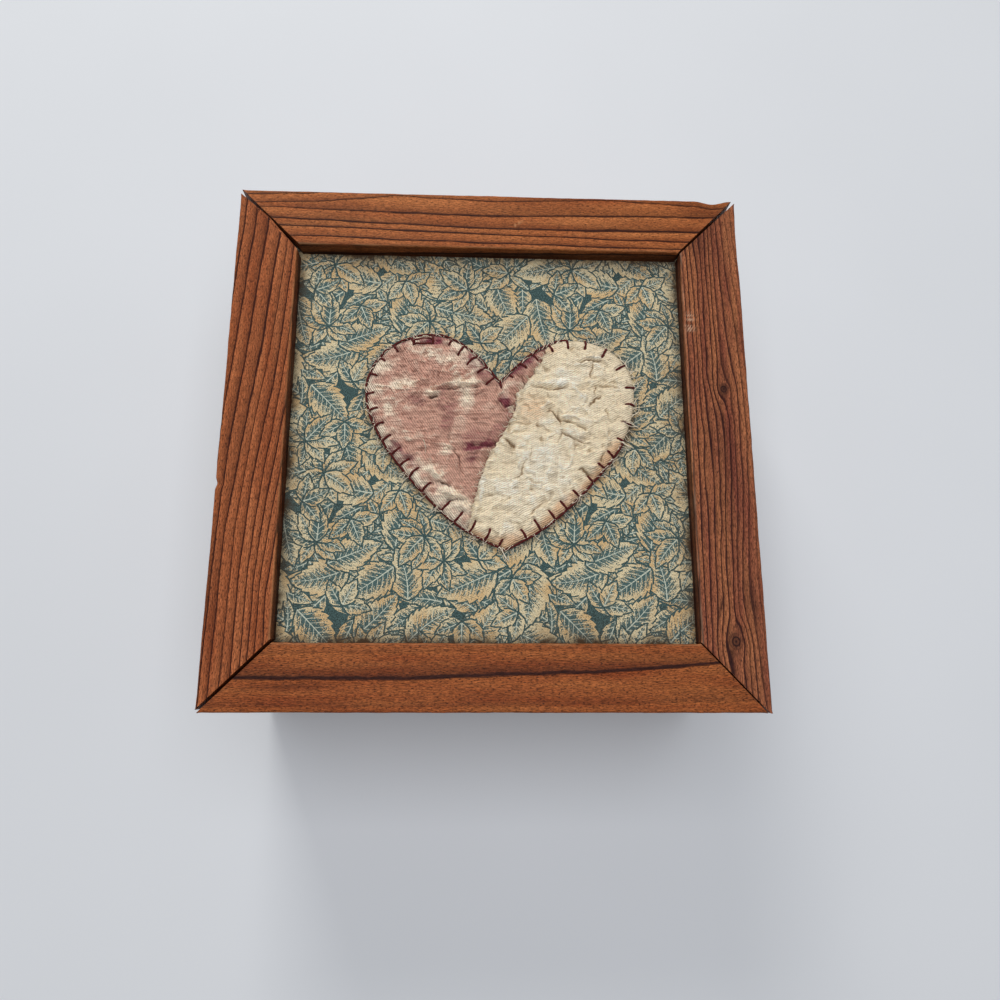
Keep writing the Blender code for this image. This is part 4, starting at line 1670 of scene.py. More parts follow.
    @staticmethod
    def _border(spots: np.ndarray, half: np.ndarray) -> list:
        """Finds the points round the cloth's edge.

        Args:
            spots: All its points.
            half: Half its width and half its depth.

        Returns:
            Their numbers, anticlockwise.
        """
        close = 1e-3
        sides = [
            (np.abs(spots[:, 1] + half[1]) < close, spots[:, 0]),
            (np.abs(spots[:, 0] - half[0]) < close, spots[:, 1]),
            (np.abs(spots[:, 1] - half[1]) < close, -spots[:, 0]),
            (np.abs(spots[:, 0] + half[0]) < close, -spots[:, 1]),
        ]
        ring = []
        for mask, order in sides:
            found = np.flatnonzero(mask)
            found = found[np.argsort(order[found])]
            ring += found[:-1].tolist()
        return ring


# --- the heart ---
HEART_CLEFT = (4.2, 22.7)
HEART_TIP = (6.3, -43.4)
LEFT_LOBE = ((-7.8, 36.5), (-21.1, 42.7), (-37.3, 38.5), (-46.7, 26.4), (-46.9, 12.2),
             (-38.6, -4.8), (-25.1, -21.3), (-10.4, -34.7))
RIGHT_LOBE = ((20.5, -35.2), (35.1, -22.2), (50.8, -3.1), (56.9, 12.6), (56.3, 27.4),
              (47.4, 38), (32.5, 41.6), (18.3, 36.1))
SEAM = ((20.3, 30.8), (17.3, 26.7), (13.2, 20.8), (10.7, 16.7), (9.8, 10.8), (6.5, 3.3),
        (4, -0.8), (1.5, -4.2), (-1, -10), (-3.5, -18.3), (-5.2, -23.3), (-6.4, -30))
SEAM_TOP = (23.7, 38.5)
SEAM_FOOT = (-8, -36.6)

# Inner ends of the blanket stitch's bites, from the cleft round the left lobe to the tip and on.
BITES = (
    (-1.4, 22.5), (-4.8, 26.7), (-8.9, 30.4), (-12.7, 34.6), (-16.2, 38.8), (-22.6, 39),
    (-30.2, 38.6), (-36.4, 35.8), (-41.4, 31.3), (-44.3, 25.2), (-45.2, 18.2), (-43.5, 11.8),
    (-41, 5.8), (-38, 0.8), (-34.2, -4.2), (-30.6, -8.5), (-26.8, -12.3), (-22, -18),
    (-14.3, -25), (-9.8, -29.2), (-4.8, -32.5), (0.7, -35.8), (5.4, -39.6), (12.3, -35.8),
    (17.3, -32.1), (22.8, -28.3), (27.3, -24.6), (32.3, -20.4), (38.2, -14.6), (42.3, -9.6),
    (46.1, -4.6), (50.3, 0.8), (52.3, 7.5), (54, 14.8), (54, 21.5), (50.3, 28.8),
    (44.8, 34), (38.2, 37.9), (31.5, 37.9), (25.3, 36.3), (19.4, 32.9), (14.8, 29.2),
    (9.4, 25.4), (4.8, 20.8),
)

# Longer stitches that run beside the edge: a mend on the left lobe and one on the right.
LOOPS = (
    ((-30.2, 38.6), (-30, 40.6), (-26, 41), (-22.4, 40.6), (-22.6, 38.6)),
    ((-29.8, 38.9), (-26.2, 38.5), (-23, 38.9)),
    ((44.8, 34), (46.2, 35.6)),
)


class Cloth(Enum):
    """The two cloths of the heart."""

    MAUVE = "heart_mauve_patch"
    CREAM = "heart_cream_patch"


@dataclass(frozen=True)
class Fold:
    """A crease or a raised wrinkle of the cloth, from one point to another."""

    start: tuple
    end: tuple
    width: float
    rise: float  # mm, negative for a crease
    soil_and_shade: float = 0.0  # soiling and painted shade that lie in it


def folds(*rows: tuple) -> tuple:
    """Folds from rows of x and y of the start, x and y of the end, width, rise, and soiling with
    painted shade.
    """
    return tuple(Fold(row[:2], row[2:4], *row[4:]) for row in rows)


MAUVE_FOLDS = folds(
    (-23, 21, -3, 22.5, 0.9, 0.8), (-22.5, 19.4, -4, 20.8, 0.7, -0.5, 0.4),
    (-24, 17.2, -20.5, 16.8, 1.1, -0.9, 0.8), (-25, 18.8, -19.5, 18.2, 0.7, 0.7),
    (-13, -4, -10, -15, 0.6, -0.5, 0.4), (-14.3, -4, -11.4, -15, 0.8, 0.4),
    (-9.5, -4.2, 2.5, -2.6, 0.7, -0.5, 0.2), (-10, -6, 1, -4.6, 0.8, 0.4),
    (-30, -1, -12, -3.5, 0.6, 0.35), (-30, -2, -12, -4.6, 0.5, -0.3, 0.2),
    (-38, 30, -24, 25, 0.6, -0.3, 0.15), (-34, 33, -20, 28.5, 0.6, 0.35),
    (-30, 28, -8, 26, 0.6, 0.4), (-18, 31, -22, 20, 0.6, -0.35, 0.2), (-26, 24, -36, 17, 0.6, 0.35),
    (-24, 22, -34, 14, 0.6, -0.3, 0.1), (-45, 22, -36, 17.5, 0.7, 0.4),
    (-19, 17, -8, 18, 0.5, -0.35, 0.3), (3, 17, 6.5, 20, 0.6, 0.6), (6.5, 20, 11, 17.5, 0.6, 0.5),
    (2.5, 16, 6.3, 11, 0.6, 0.6), (6.3, 11, 10.2, 13.5, 0.6, 0.6),
    (3.6, 15.6, 6.5, 12.4, 0.5, -0.5, 0.4), (6.2, 12.4, 9.6, 14.2, 0.5, -0.5, 0.4),
    (0.5, 20, -5, 17, 0.6, -0.35, 0.2), (11, 27, 15, 22, 0.7, -0.5, 0.3),
    (-42, -1, -36, 3, 0.7, 0.4), (-23, -13, -19, -17, 1.4, 0.8), (-18, -21, -13, -24, 1.6, 0.9),
    (-13, -27, -8, -27.5, 1.6, 0.8), (-20, -17.5, -14, -20, 0.8, -0.7, 0.5),
    (-16, -25.5, -9, -24.5, 0.8, -0.6, 0.5),
)
CREAM_FOLDS = folds(
    (24.5, 11, 28, 7.5, 0.7, -0.8, 0.7), (28, 7.5, 33, 6.2, 0.7, -0.7, 0.5),
    (27, 10.5, 27.6, 5, 0.6, -0.6, 0.5), (33, 6.2, 38, 3.8, 0.7, -0.5, 0.4),
    (29, 2.5, 33.5, -0.5, 0.7, -0.7, 0.6), (33.5, -0.5, 39.5, -2, 0.7, -0.6, 0.4),
    (27.5, -1.5, 29, 2.5, 0.6, -0.5, 0.4), (28.5, 9, 36, 8, 0.9, 0.6),
    (16, 21, 24, 20.4, 0.6, -0.5, 0.35), (24, 20.4, 32, 21.4, 0.6, -0.45, 0.3),
    (16, 22.6, 32, 22.8, 1.2, 0.4), (41, 31, 40.5, 25, 0.7, -0.7, 0.5),
    (41.8, 22.5, 42, 17.5, 0.6, -0.5, 0.4), (40, 13.5, 44, 18, 0.6, -0.6, 0.6),
    (42, 22, 52, 20.5, 0.6, -0.5, 0.3), (7, 5, 16, 6.2, 0.7, -0.4, 0.25), (9, 3.6, 15, 5, 0.8, 0.4),
    (16, 6, 23, 3.6, 0.7, -0.4, 0.2), (6, -0.5, 9.5, -3, 0.9, -0.7, 0.6),
    (12, -15, 14.5, -9.5, 0.5, -0.5, 0.4), (10.5, -17, 12.5, -14, 0.5, -0.4, 0.4),
    (14, -17, 20, -18, 0.6, -0.4, 0.4), (35, -12.5, 40, -14.5, 0.8, -0.8, 0.7),
    (38, -11, 43, -13, 1.1, 0.7), (16.5, -30, 20, -26, 0.8, -0.6, 0.4),
    (-2, -23, 7, -22.5, 0.7, -0.35, 0.2), (30, 12, 38, 12, 0.8, 0.3), (44, 4, 50, -3, 1, 0.5),
    (36, 34, 46, 33, 1, 0.7), (35, 32.4, 46, 31.6, 0.7, -0.6, 0.6),
    (46, 12.5, 47.5, 8, 0.6, -0.5, 0.3), (33, -6, 33.5, -3, 0.5, -0.4, 0.4),
    (20, 11, 24, 16, 1.4, 0.4), (22, 9, 26, 13, 0.7, -0.4, 0.25),
    (45, -6, 42, -9.5, 0.8, -0.5, 0.3), (17, -4, 16, -10, 0.7, -0.4, 0.3),
)
MAUVE_PALE = (
    ((-39, 11.5), (2.4, 2.4), 0, 0.9), ((-36.5, 20.5), (3.2, 2.6), 20, 0.8),
    ((-32, 22), (2.6, 2.4), 0, 0.7), ((-9, 16.5), (3.4, 6), 0, 0.95),
    ((-10, 22.5), (9, 1.6), 4, 0.8), ((-23, 18), (3.6, 1.6), 0, 0.7),
    ((-41, 28.5), (4, 3), 30, 0.75), ((-18, 33), (9, 3), -8, 0.55),
    ((-16.5, -5.5), (2.8, 2.2), 0, 0.75), ((-22, -13.5), (3.4, 2.4), -40, 0.9),
    ((-15.5, -22.5), (4.2, 3.4), -40, 1), ((-10, -27), (4, 3), -30, 1),
    ((-43, 3), (2, 3), 30, 0.5), ((-27, -8), (4, 2), -40, 0.35),
    ((8, 22), (4, 2), 40, 0.6), ((13.5, 21.5), (2.6, 2.6), 0, 0.7),
    ((9, 11.8), (1.8, 1.6), 0, 0.8), ((-3, -12), (2.4, 5), 0, 0.3),
    ((-44.5, 21), (2.4, 3), 0, 0.5),
)
MAUVE_DEEP = (
    ((-4, -3.6), (6, 1.3), 8, 1.1), ((-6, -8), (4, 3), 0, 0.6),
    ((6.2, 15.2), (3, 2.8), 0, 0.9), ((-28, 15), (5, 3.2), 0, 0.55),
    ((-7, 31.5), (5, 3.6), -40, 0.75), ((14, 31), (7, 3.2), 40, 0.8),
    ((-24, 39.5), (9, 2), 0, 0.7), ((-36, -3.5), (2.4, 4.4), 40, 0.6),
    ((-28, -11), (2, 4), 40, 0.6), ((-44.5, 12), (1.6, 6), 0, 0.5),
    ((-2, 25), (4, 3), -40, 0.5),
)
CREAM_PALE = (
    ((20, -12), (14, 16), 40, 0.55), ((36, 14), (10, 8), 0, 0.4),
    ((10, -30), (8, 7), 0, 0.3), ((28, 26), (8, 6), 0, 0.3),
)
CREAM_DEEP = (
    ((17, 12), (8.5, 9.5), 0, 0.55), ((8, -10), (5, 8), 20, 0.3),
    ((48, -6), (4, 8), -35, 0.55), ((30, -26), (3, 12), -50, 0.7),
    ((8, -40), (5, 3), 0, 0.7), ((24, 37), (4, 2.4), 0, 0.6),
    ((40, 28), (3, 5), 0, 0.4), ((52, 18), (2.6, 12), 0, 0.3),
)


# Folds of each cloth, the seed of its smaller wrinkles and how strong they are.
FOLDS = {Cloth.MAUVE: (MAUVE_FOLDS, 340, 0.75), Cloth.CREAM: (CREAM_FOLDS, 300, 1.0)}
# Worn and strongly dyed places: (middle, half widths, turn, strength).
TINTS = {Cloth.MAUVE: (MAUVE_PALE, MAUVE_DEEP), Cloth.CREAM: (CREAM_PALE, CREAM_DEEP)}


@dataclass
class QuiltedHeart:
    """The heart: a mauve and a cream cloth over batting, stitched down all round its edge."""

    base: float  # level that the patches lie on
    loft: float = 2.5  # height of the padding in the middle
    spacing: float = 0.34  # between points of the cloth's mesh
    stitch_radius: float = 0.48
    mauve: FadedQuiltCotton = FadedQuiltCotton(
        "faded_rose_twill", "#d2a28e", "#84414a", "#ffecd2", "#4a241a", -34.0, 0.85, 0.30)
    cream: FadedQuiltCotton = FadedQuiltCotton(
        "unbleached_muslin", "#fbe9c8", "#efc59c", "#fffaea", "#8a6a44", 62.0, 0.75, 0.18)
    floss: CottonThread = CottonThread("burgundy_floss", "#6a1f1b", "#300c09")
    pale_thread: CottonThread = CottonThread("cream_thread", "#fff6e4", "#e2cfae")

    RIM = 0.55  # mm, height of a cloth at the heart's edge
    LAP = 1.3  # mm, height of the cream cloth's turned edge on the mauve one
    LOWEST = 0.30  # mm, height that no cloth falls below
    NARROWER, RAISED, SOILED = 1.35, 1.7, 1.6  # what the folds' rows are multiplied by
    GATHER = (-22.0, 19.0)  # where the mauve cloth's long creases run together
    OVERHANG = 0.35  # mm that a stitch reaches over the edge
    BARE_EDGE = (30.0, -2.0)  # no thread runs along the edge beyond both of these
    EDGE_HAIRS, SEAM_HAIRS = 210, 150

    def __post_init__(self) -> None:
        """Works out the heart's edge, its stitches' places, its seam and its cloths' outlines.

        The seam wobbles, because the cream cloth is turned under by hand.
        """
        self.left = evenly(rounded([HEART_CLEFT, *LEFT_LOBE, HEART_TIP], 12), 0.5)
        self.right = evenly(rounded([HEART_TIP, *RIGHT_LOBE, HEART_CLEFT], 12), 0.5)
        self.edge = np.vstack([self.left, self.right[1:]])
        self.bites = [self._bite(np.array(spot)) for spot in BITES]
        top = int(np.argmin(np.linalg.norm(self.right - SEAM_TOP, axis=1)))
        foot = int(np.argmin(np.linalg.norm(self.left - SEAM_FOOT, axis=1)))
        seam = evenly(rounded([self.right[top], *SEAM, self.left[foot]], 6), 0.45)
        wobble = drift(seam, 1.6, 5)
        fade = np.minimum(np.arange(len(seam)), np.arange(len(seam))[::-1])[:, None]
        self.seam = seam + 0.60 * wobble * smoothstep(fade, 0.0, 6.0)
        self.outlines = {
            Cloth.MAUVE: np.vstack([self.left[:foot], self.seam[::-1], self.right[top + 1:-1]]),
            Cloth.CREAM: np.vstack([self.seam[:-1], self.left[foot:-1], self.right[:top]]),
        }

    def _bite(self, inner: np.ndarray) -> tuple:
        """Finds where a stitch comes over the heart's edge.

        Args:
            inner: Its inner end.

        Returns:
            Number and place of the nearest point of the edge, and the inner end.
        """
        gap = np.linalg.norm(self.edge - inner, axis=1)
        index = int(np.argmin(gap))
        return index, self.edge[index], inner

    def cloth_of(self, spots: np.ndarray) -> np.ndarray:
        """Finds the points on the cream side of the seam.

        Args:
            spots: Points of the plane.

        Returns:
            Whether each point lies there.
        """
        gaps = np.linalg.norm(spots[:, None] - self.seam[None], axis=2)
        index = np.clip(np.argmin(gaps, axis=1), 1, len(self.seam) - 2)
        run = self.seam[index + 1] - self.seam[index - 1]
        away = spots - self.seam[index]
        return run[:, 0] * away[:, 1] - run[:, 1] * away[:, 0] > 0.0

    def height(self, spots: np.ndarray, cloth: Cloth) -> tuple[np.ndarray, np.ndarray]:
        """Height of a cloth above the level that it lies on.

        Args:
            spots: Points of the plane.
            cloth: Which of the two cloths.

        Returns:
            Heights in millimetres, and the soiling with painted shade in creases, pits and at
            edges, from 0 to 1.
        """
        rim = line_distance(spots, self.edge[::2])
        to_seam = line_distance(spots, self.seam[::2])
        puffed = self.RIM + (self.loft - self.RIM) * (1.0 - np.exp(-rim / 1.5))
        # painted shade at the rim, where the cloth dips down to the cotton
        soil_and_shade = 0.30 * np.exp(-rim / 0.7)
        if cloth is Cloth.CREAM:
            lumps = noise(spots, 2.4, 71, 2)
            lap = self.LAP + (self.loft + 0.25 - self.LAP) * (1.0 - np.exp(-to_seam / 0.7))
            puffed = np.minimum(puffed + 0.15, lap + 0.9)
            puffed += 0.55 * (0.6 + lumps) * np.exp(-((to_seam - 1.3) / 1.1) ** 2)
            # darker right along the cream's turned edge
            soil_and_shade += 0.30 * np.exp(-to_seam / 0.35)
        else:
            puffed = puffed - 1.35 * np.exp(-to_seam / 1.8)
            # a painted shadow on the mauve under the cream's raised lap
            soil_and_shade += 0.70 * np.exp(-to_seam / 0.9)
        folds, seed, amount = FOLDS[cloth]
        calm = smoothstep(rim, 0.3, 2.5)
        warp = drift(spots, 3.0, seed + 1)
        moved = spots + 0.8 * warp
        relief = np.zeros(len(spots))
        for fold in folds:
            gap, share = segment_distance(moved, np.array(fold.start), np.array(fold.end))
            gap = self.NARROWER * gap
            ends = np.sin(math.pi * np.clip(share, 0.03, 0.97)) ** 0.4
            profile = np.exp(-(gap / fold.width) ** 2) * ends
            relief += self.RAISED * fold.rise * profile
            # soiling and painted shade in the creases
            soil_and_shade += self.SOILED * fold.soil_and_shade * np.exp(-(gap / (0.55 * fold.width)) ** 2) * ends
        ridges = 1.0 - np.abs(noise(moved, 4.2, seed + 3, 2))
        relief += amount * 0.95 * (ridges - 0.75)
        pits = smoothstep(-noise(moved, 2.6, seed + 6, 2), 0.55, 1.1)
        relief -= 0.50 * amount * pits
        # painted shade in the pits
        soil_and_shade += 0.30 * amount * pits
        relief += 0.34 * noise(moved, 1.5, seed + 4, 2)
        relief += 0.07 * noise(spots / [[3.0, 1.0]], 0.5, seed + 5)
        if cloth is Cloth.MAUVE:
            dx, dy = spots[:, 0] - self.GATHER[0], spots[:, 1] - self.GATHER[1]
            away, angle = np.hypot(dx, dy), np.arctan2(dy, dx)
            fan = np.stack([away / 7.0, angle * 9.0], axis=1)
            level = np.stack([spots[:, 0] / 6.0, spots[:, 1]], axis=1)
            upper = smoothstep(spots[:, 1], 8.0, 20.0)
            relief += 0.55 * upper * smoothstep(away, 2.0, 6.0) * noise(fan, 1.0, 91, 2)
            relief += (0.40 - 0.10 * upper) * noise(level + 0.3 * warp, 0.9, 92, 2)
        # painted shade wherever the relief dips
        soil_and_shade += 0.26 * smoothstep(-relief, 0.25, 1.3)
        sewn = np.zeros(len(spots))
        for _, root, inner in self.bites:
            gap, _ = segment_distance(spots, root, inner)
            sewn = np.maximum(sewn, 0.75 * np.exp(-(gap / 0.75) ** 2))
            sewn = np.maximum(sewn, 0.95 * np.exp(-((spots - inner) ** 2).sum(1) / 0.9))
            # painted shade in the dimple where each stitch goes in
            soil_and_shade += 0.35 * np.exp(-((spots - inner) ** 2).sum(1) / 0.35)
        height = puffed + relief * calm - sewn * np.minimum(1.0, puffed / self.loft)
        return np.maximum(height, self.LOWEST), np.clip(soil_and_shade, 0.0, 0.95)

    def patch(self, cloth: Cloth) -> bpy.types.Object:
        """Builds and dresses one of the cloths.

        Args:
            cloth: Which of the two.

        Returns:
            The piece.
        """
        outline = self.outlines[cloth]
        low, high = outline.min(0), outline.max(0)
        xs = np.arange(low[0], high[0], self.spacing)
        ys = np.arange(low[1], high[1], self.spacing * 0.87)
        grid = np.array([(x + (0.5 * self.spacing if j % 2 else 0.0), y)
                         for j, y in enumerate(ys) for x in xs])
        grid = grid[point_in(grid, outline)]
        closed = np.vstack([outline, outline[:1]])
        grid = grid[line_distance(grid, closed) > 0.45 * self.spacing]
        spots, faces, _ = cut_plane([*outline, *grid], [list(range(len(outline)))], 1e-5)
        rim = rim_of(faces)

        height, soil_and_shade = self.height(spots, cloth)
        proud = smoothstep(height, self.loft, self.loft + 0.8)
        ragged = spots + 0.9 * drift(spots, 2.2, 61)
        pale, deep = (sum(power * blob(ragged, centre, radii, turn)
                          for centre, radii, turn, power in places) for places in TINTS[cloth])
        rim_gap = line_distance(spots, self.edge[::2])
        if cloth is Cloth.MAUVE:
            pale = pale + 0.36 * smoothstep(noise(spots, 6.0, 63, 3), -0.2, 0.9)
            left = smoothstep(-spots[:, 0], -2.0, 6.0)
            worn = 0.5 + 0.6 * noise(spots, 3.0, 65, 2)
            pale = pale + left * worn * np.exp(-(np.maximum(rim_gap - 1.2, 0) / 2.0) ** 2)
            deep = deep + 0.45 * smoothstep(noise(spots, 8.0, 66, 3), 0.0, 0.9)
            deep = deep + 0.6 * np.exp(-rim_gap / 0.9)
        else:
            pale = pale + 0.35 * smoothstep(noise(spots, 7.0, 64, 2), 0.0, 0.9)
            pink = np.exp(-rim_gap / 2.0) * smoothstep(spots[:, 1], 6.0, -6.0)
            deep = deep + 0.9 * pink
        pale = pale + 0.35 * proud
        tint = np.stack([np.clip(pale, 0, 1), np.clip(deep, 0, 1), soil_and_shade], axis=1)
        top = np.column_stack([spots, self.base + height])
        under = np.column_stack([spots[rim], np.full(len(rim), self.base)])
        faces += closed_below(rim, len(spots))
        weave = np.column_stack([spots + 0.3 * np.stack([height, height], axis=1),
                                 np.zeros(len(spots))])
        finish = self.mauve if cloth is Cloth.MAUVE else self.cream
        item = new_piece(cloth.value + "_quilted", np.vstack([top, under]), faces,
                         finish.material(),
                         {"cloth": np.vstack([weave, weave[rim]]),
                          "tint": np.vstack([tint, tint[rim]])})
        settle_normals(item)
        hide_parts(cloth.value)
        return item

    def surface(self, spots: np.ndarray) -> np.ndarray:
        """Height above the table of whichever cloth lies on top.

        Args:
            spots: Points of the plane.

        Returns:
            A height for each point.
        """
        cream = self.cloth_of(spots)
        level = np.where(cream, self.height(spots, Cloth.CREAM)[0],
                         self.height(spots, Cloth.MAUVE)[0])
        return self.base + level

    def stitches(self) -> bpy.types.Object:
        """Builds the blanket stitch: a bite over the rim at each stitch, joined along the edge.

        Returns:
            The piece of burgundy floss.
        """
        rng = np.random.default_rng(8)
        parts = []
        radius = self.stitch_radius
        for _, root, inner in self.bites:
            run = root - inner
            outer = root + self.OVERHANG * run / max(np.linalg.norm(run), 1e-6)
            sway = rng.uniform(-0.35, 0.35) * np.array([-run[1], run[0]]) / 3.6
            share = np.linspace(0.0, 1.0, 15)
            flat = inner + share[:, None] * (outer - inner)
            flat = flat + np.sin(math.pi * share)[:, None] * sway
            level = self.surface(flat) + 0.6 * radius
            level = np.convolve(np.r_[level[0], level, level[-1]], (0.25, 0.5, 0.25), "valid")
            level[0] -= 1.0
            level[1] -= 0.25
            level[-1] = self.base + 0.4
            level[-2] = min(level[-2], self.base + 1.0)
            line = np.column_stack([flat, level])
            girth = radius * (1.0 + 0.12 * np.sin(share * 9.0 + rng.uniform(0, 6)))
            parts.append(tube(line, girth, 8))
        for corners in LOOPS:
            flat = evenly(np.array(corners, float), 0.5)
            flat = flat + 0.12 * drift(flat, 1.5, 81, 1)
            level = self.surface(flat) + 0.6 * radius
            level[[0, -1]] -= 0.8
            parts.append(tube(np.column_stack([flat, level]), 0.8 * radius, 7))
        order = sorted(self.bites, key=lambda bite: bite[0])
        for here, there in zip(order, order[1:] + order[:1]):
            if there[0] > here[0]:
                path = self.edge[here[0]:there[0] + 1]
            else:
                path = np.vstack([self.edge[here[0]:], self.edge[:there[0] + 1]])
            if len(path) < 3:
                continue
            middle = path[len(path) // 2]
            if middle[0] > self.BARE_EDGE[0] and middle[1] > self.BARE_EDGE[1]:
                continue
            path = evenly(path, 0.45)
            normal = np.gradient(path, axis=0)
            normal = np.stack([normal[:, 1], -normal[:, 0]], axis=1)
            normal /= np.linalg.norm(normal, axis=1, keepdims=True)
            share = np.linspace(0.0, 1.0, len(path))
            slack = 0.42 + 0.20 * np.sin(math.pi * share) * rng.uniform(0.3, 1.3)
            flat = path + normal * slack[:, None]
            level = self.base + 0.45 + 0.35 * np.sin(math.pi * share) + 0.25 * (share < 0.15)
            parts.append(tube(np.column_stack([flat, level]), radius * 0.92, 7))
        spots, faces = joined(parts)
        item = new_piece("heart_blanket_stitch_floss", spots, faces, self.floss.material())
        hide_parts("heart_blanket_stitch")
        return item

    def loose_ends(self) -> bpy.types.Object:
        """Builds the frayed yarns and loose hairs of the cloths' edges.

        Returns:
            The piece of pale cotton hairs.
        """
        rng = np.random.default_rng(12)
        parts = []

        def hair(start: np.ndarray, heading: float, length: float, radius: float,
                 curl: float, lift: float) -> None:
            """Adds one hair that curls as it runs and falls to the cloth below.

            Args:
                start: Where it starts.
                heading: Which way it sets out, in radians.
                length: Its length.
                radius: Its radius at the start, twice that of its end.
                curl: Radians that it turns by in all.
                lift: How high it stands in the middle, in fifths of its length.
            """
            share = np.linspace(0.0, 1.0, 9)
            angles = heading + curl * share
            step = length / 8.0
            flat = start + np.vstack([[0.0, 0.0], np.cumsum(
                step * np.stack([np.cos(angles), np.sin(angles)], axis=1)[:-1], axis=0)])
            on_heart = line_distance(flat, np.vstack([self.edge, self.edge[:1]]))
            inside = point_in(flat, self.edge)
            ground = np.where(inside, self.surface(flat), self.base + 0.12)
            ground = np.where(~inside & (on_heart < 0.8), self.base + 0.9, ground)
            level = ground + 0.10 + lift * np.sin(math.pi * share) * length * 0.2
            parts.append(tube(np.column_stack([flat, level]), radius * (1.0 - 0.5 * share), 4))

        for _ in range(self.EDGE_HAIRS):
            index = int(rng.integers(0, len(self.edge) - 1))
            out = math.atan2(*(self.edge[index] - self.edge.mean(0))[::-1])
            hair(self.edge[index], out + rng.uniform(-1.2, 1.2), rng.uniform(2.0, 5.5),
                 rng.uniform(0.09, 0.17), rng.uniform(-1.6, 1.6), rng.uniform(0.1, 0.5))
        for _ in range(self.SEAM_HAIRS):
            index = int(rng.integers(0, len(self.seam)))
            hair(self.seam[index], rng.uniform(0, 2 * math.pi), rng.uniform(1.0, 3.0),
                 rng.uniform(0.08, 0.15), rng.uniform(-2.0, 2.0), rng.uniform(0.1, 0.4))
        for centre, heading, count in (((34.0, 14.0), -1.0, 14), ((20.0, -10.0), 1.0, 12),
                                       ((-10.0, 24.0), 0.1, 12), ((41.0, 35.0), 0.4, 18),
                                       ((-16.0, -23.0), -0.7, 10)):
            for _ in range(count):
                spot = np.array(centre) + rng.normal(0.0, 3.2, 2)
                if point_in(spot[None], self.edge)[0]:
                    hair(spot, heading + rng.normal(0.0, 0.25), rng.uniform(2.5, 6.0),
                         rng.uniform(0.08, 0.13), rng.uniform(-0.5, 0.5), 0.12)
        frays = (
            ((4.0, -42.5), -0.9, 6.6, 0.26, -0.5), ((5.0, -43.0), -1.3, 6.0, 0.24, 0.6),
            ((51.5, 0.0), -0.7, 6.2, 0.22, 0.4), ((51.0, -0.6), -0.3, 5.6, 0.20, -0.6),
            ((52.0, 7.0), 0.1, 7.5, 0.22, -0.8), ((53.0, 6.4), -0.4, 6.5, 0.20, 0.9),
            ((-30.0, -12.6), -2.4, 6.5, 0.16, 0.5), ((-25.5, -1.0), -1.1, 6.0, 0.14, -0.7),
        )
        for start, heading, length, radius, curl in frays:
            hair(np.array(start), heading, length, radius, curl, 0.5)
        spots, faces = joined(parts)
        return new_piece("heart_loose_threads", spots, faces, self.pale_thread.material())


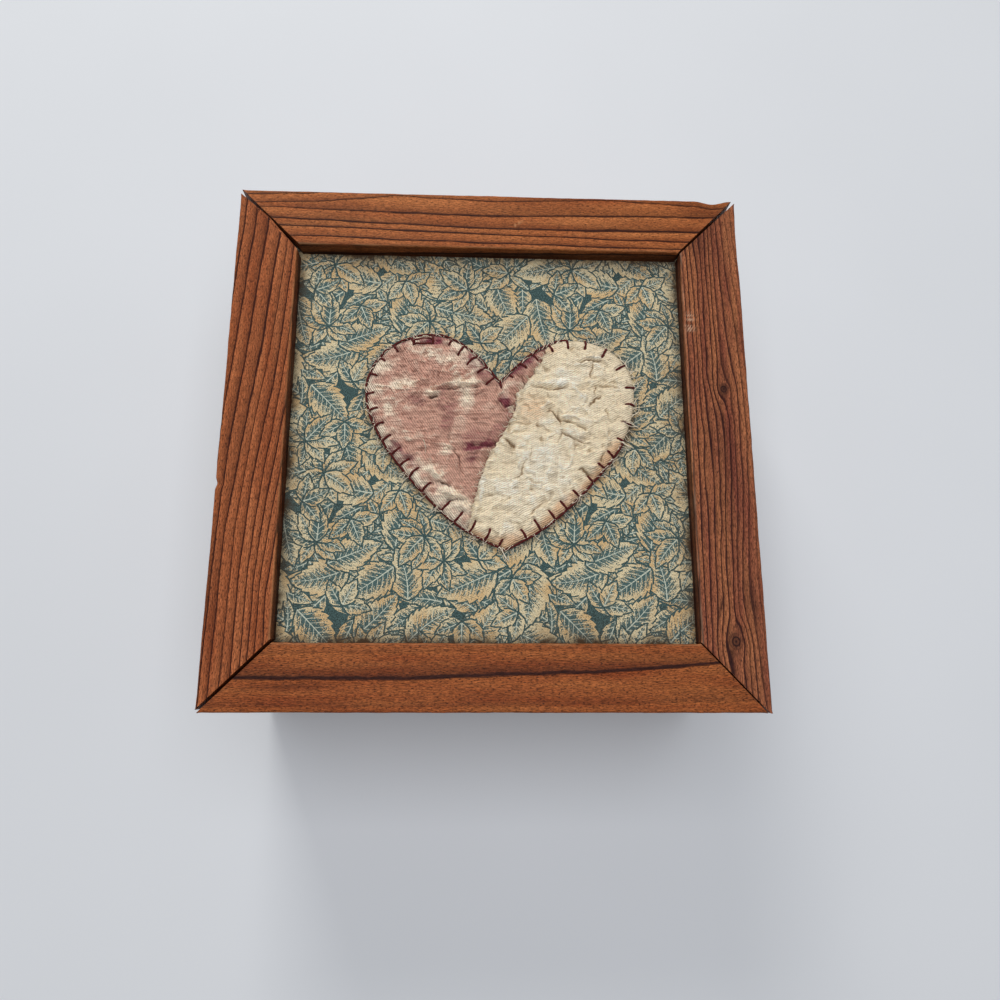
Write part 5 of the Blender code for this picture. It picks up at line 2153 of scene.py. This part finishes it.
# --- studio ---
@dataclass
class Studio:
    """A pale paper floor, soft lights above and to the sides, and the camera."""

    camera_place: tuple = (-6.03, -88.60, 374.68)
    camera_turn: tuple = (12.9015, -2.1565, 0.1253)
    lens: float = 27.04
    sky: float = 0.04
    paper: MattPaper = MattPaper()

    FLOOR = 2.5  # metres from the box to the floor's edge
    AIM = (0.0, 0.0, 0.08)  # metres, the point that the lamps face

    def floor(self) -> bpy.types.Object:
        """Lays the paper floor, wider than any view of the box.

        Returns:
            The floor, which isn't part of the box.
        """
        bm = bmesh.new()
        bmesh.ops.create_grid(bm, x_segments=8, y_segments=8, size=self.FLOOR)
        mesh = bpy.data.meshes.new("floor")
        bm.to_mesh(mesh)
        bm.free()
        mesh.materials.append(self.paper.material())
        item = bpy.data.objects.new("floor", mesh)
        item.location.z = -0.05 * MM
        bpy.context.scene.collection.objects.link(item)
        return item

    def lamp(self, name: str, place: tuple, size: float, power: float, tint: str) -> None:
        """Hangs a soft box that faces the lid.

        Args:
            name: Name of the lamp.
            place: Where it hangs, in metres.
            size: Length of its sides in metres.
            power: Watts.
            tint: Its sRGB colour.
        """
        light = bpy.data.lights.new(name, "AREA")
        light.size = size
        light.energy = power
        light.color = linear(tint)[:3]
        item = bpy.data.objects.new(name, light)
        item.location = place
        item.rotation_euler = (Vector(self.AIM) - Vector(place)).to_track_quat("-Z", "Y").to_euler()
        bpy.context.scene.collection.objects.link(item)

    def build(self) -> None:
        """Sets the floor, the lights, the sky and the camera.

        Nearly all the light comes from a broad box overhead and a small one behind the lid, which
        draw the rails' inner shadows on the cotton.
        """
        self.floor()
        self.lamp("ceiling_bounce", (0.0, 0.0, 1.7), 1.6, 22.5, "#fbfcff")
        self.lamp("window_behind", (-0.35, 1.3, 0.95), 0.6, 10.5, "#fffdf8")
        self.lamp("soft_box_right", (1.0, 0.1, 0.8), 0.8, 0.5, "#f6f8ff")
        world = bpy.data.worlds.new("studio")
        world.use_nodes = True
        world.node_tree.nodes["Background"].inputs["Color"].default_value = linear("#f4f7fb")
        world.node_tree.nodes["Background"].inputs["Strength"].default_value = self.sky
        bpy.context.scene.world = world
        camera = bpy.data.cameras.new("camera")
        camera.lens = self.lens
        camera.sensor_width = 36.0
        camera.clip_start = 0.01
        item = bpy.data.objects.new("camera", camera)
        item.location = Vector(self.camera_place) * MM
        item.rotation_euler = [math.radians(a) for a in self.camera_turn]
        bpy.context.scene.collection.objects.link(item)
        bpy.context.scene.camera = item
        bpy.context.scene.view_settings.view_transform = "Standard"


def main() -> None:
    """Builds the box and its studio, piece by piece.

    Every measure that the new pieces share with the solids is read from the solids' own boxes.
    """
    low, high = (np.array(corner) / MM for corner in CAD_BOX)
    cotton_low, cotton_high = (np.array(c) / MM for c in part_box("lid_print_cotton"))
    patch_low, _ = (np.array(c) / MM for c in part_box("heart_mauve_patch"))
    rail_low, _ = (np.array(c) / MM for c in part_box("lid_rail_front"))

    Studio().build()
    boards = MitredBoards(high[0] - low[0], high[1] - low[1], rail_low[2])
    boards.rails()
    boards.walls()
    BarePanels().dress()
    size = cotton_high - cotton_low
    heart = QuiltedHeart(patch_low[2] - 0.25)
    LeafPrint(size[0], size[1], cotton_high[2], size[2], heart.edge).build()
    heart.patch(Cloth.MAUVE)
    heart.patch(Cloth.CREAM)
    heart.stitches()
    heart.loose_ends()


if __name__ == "__main__":
    logging.basicConfig(level=logging.INFO, format="%(message)s")
    main()
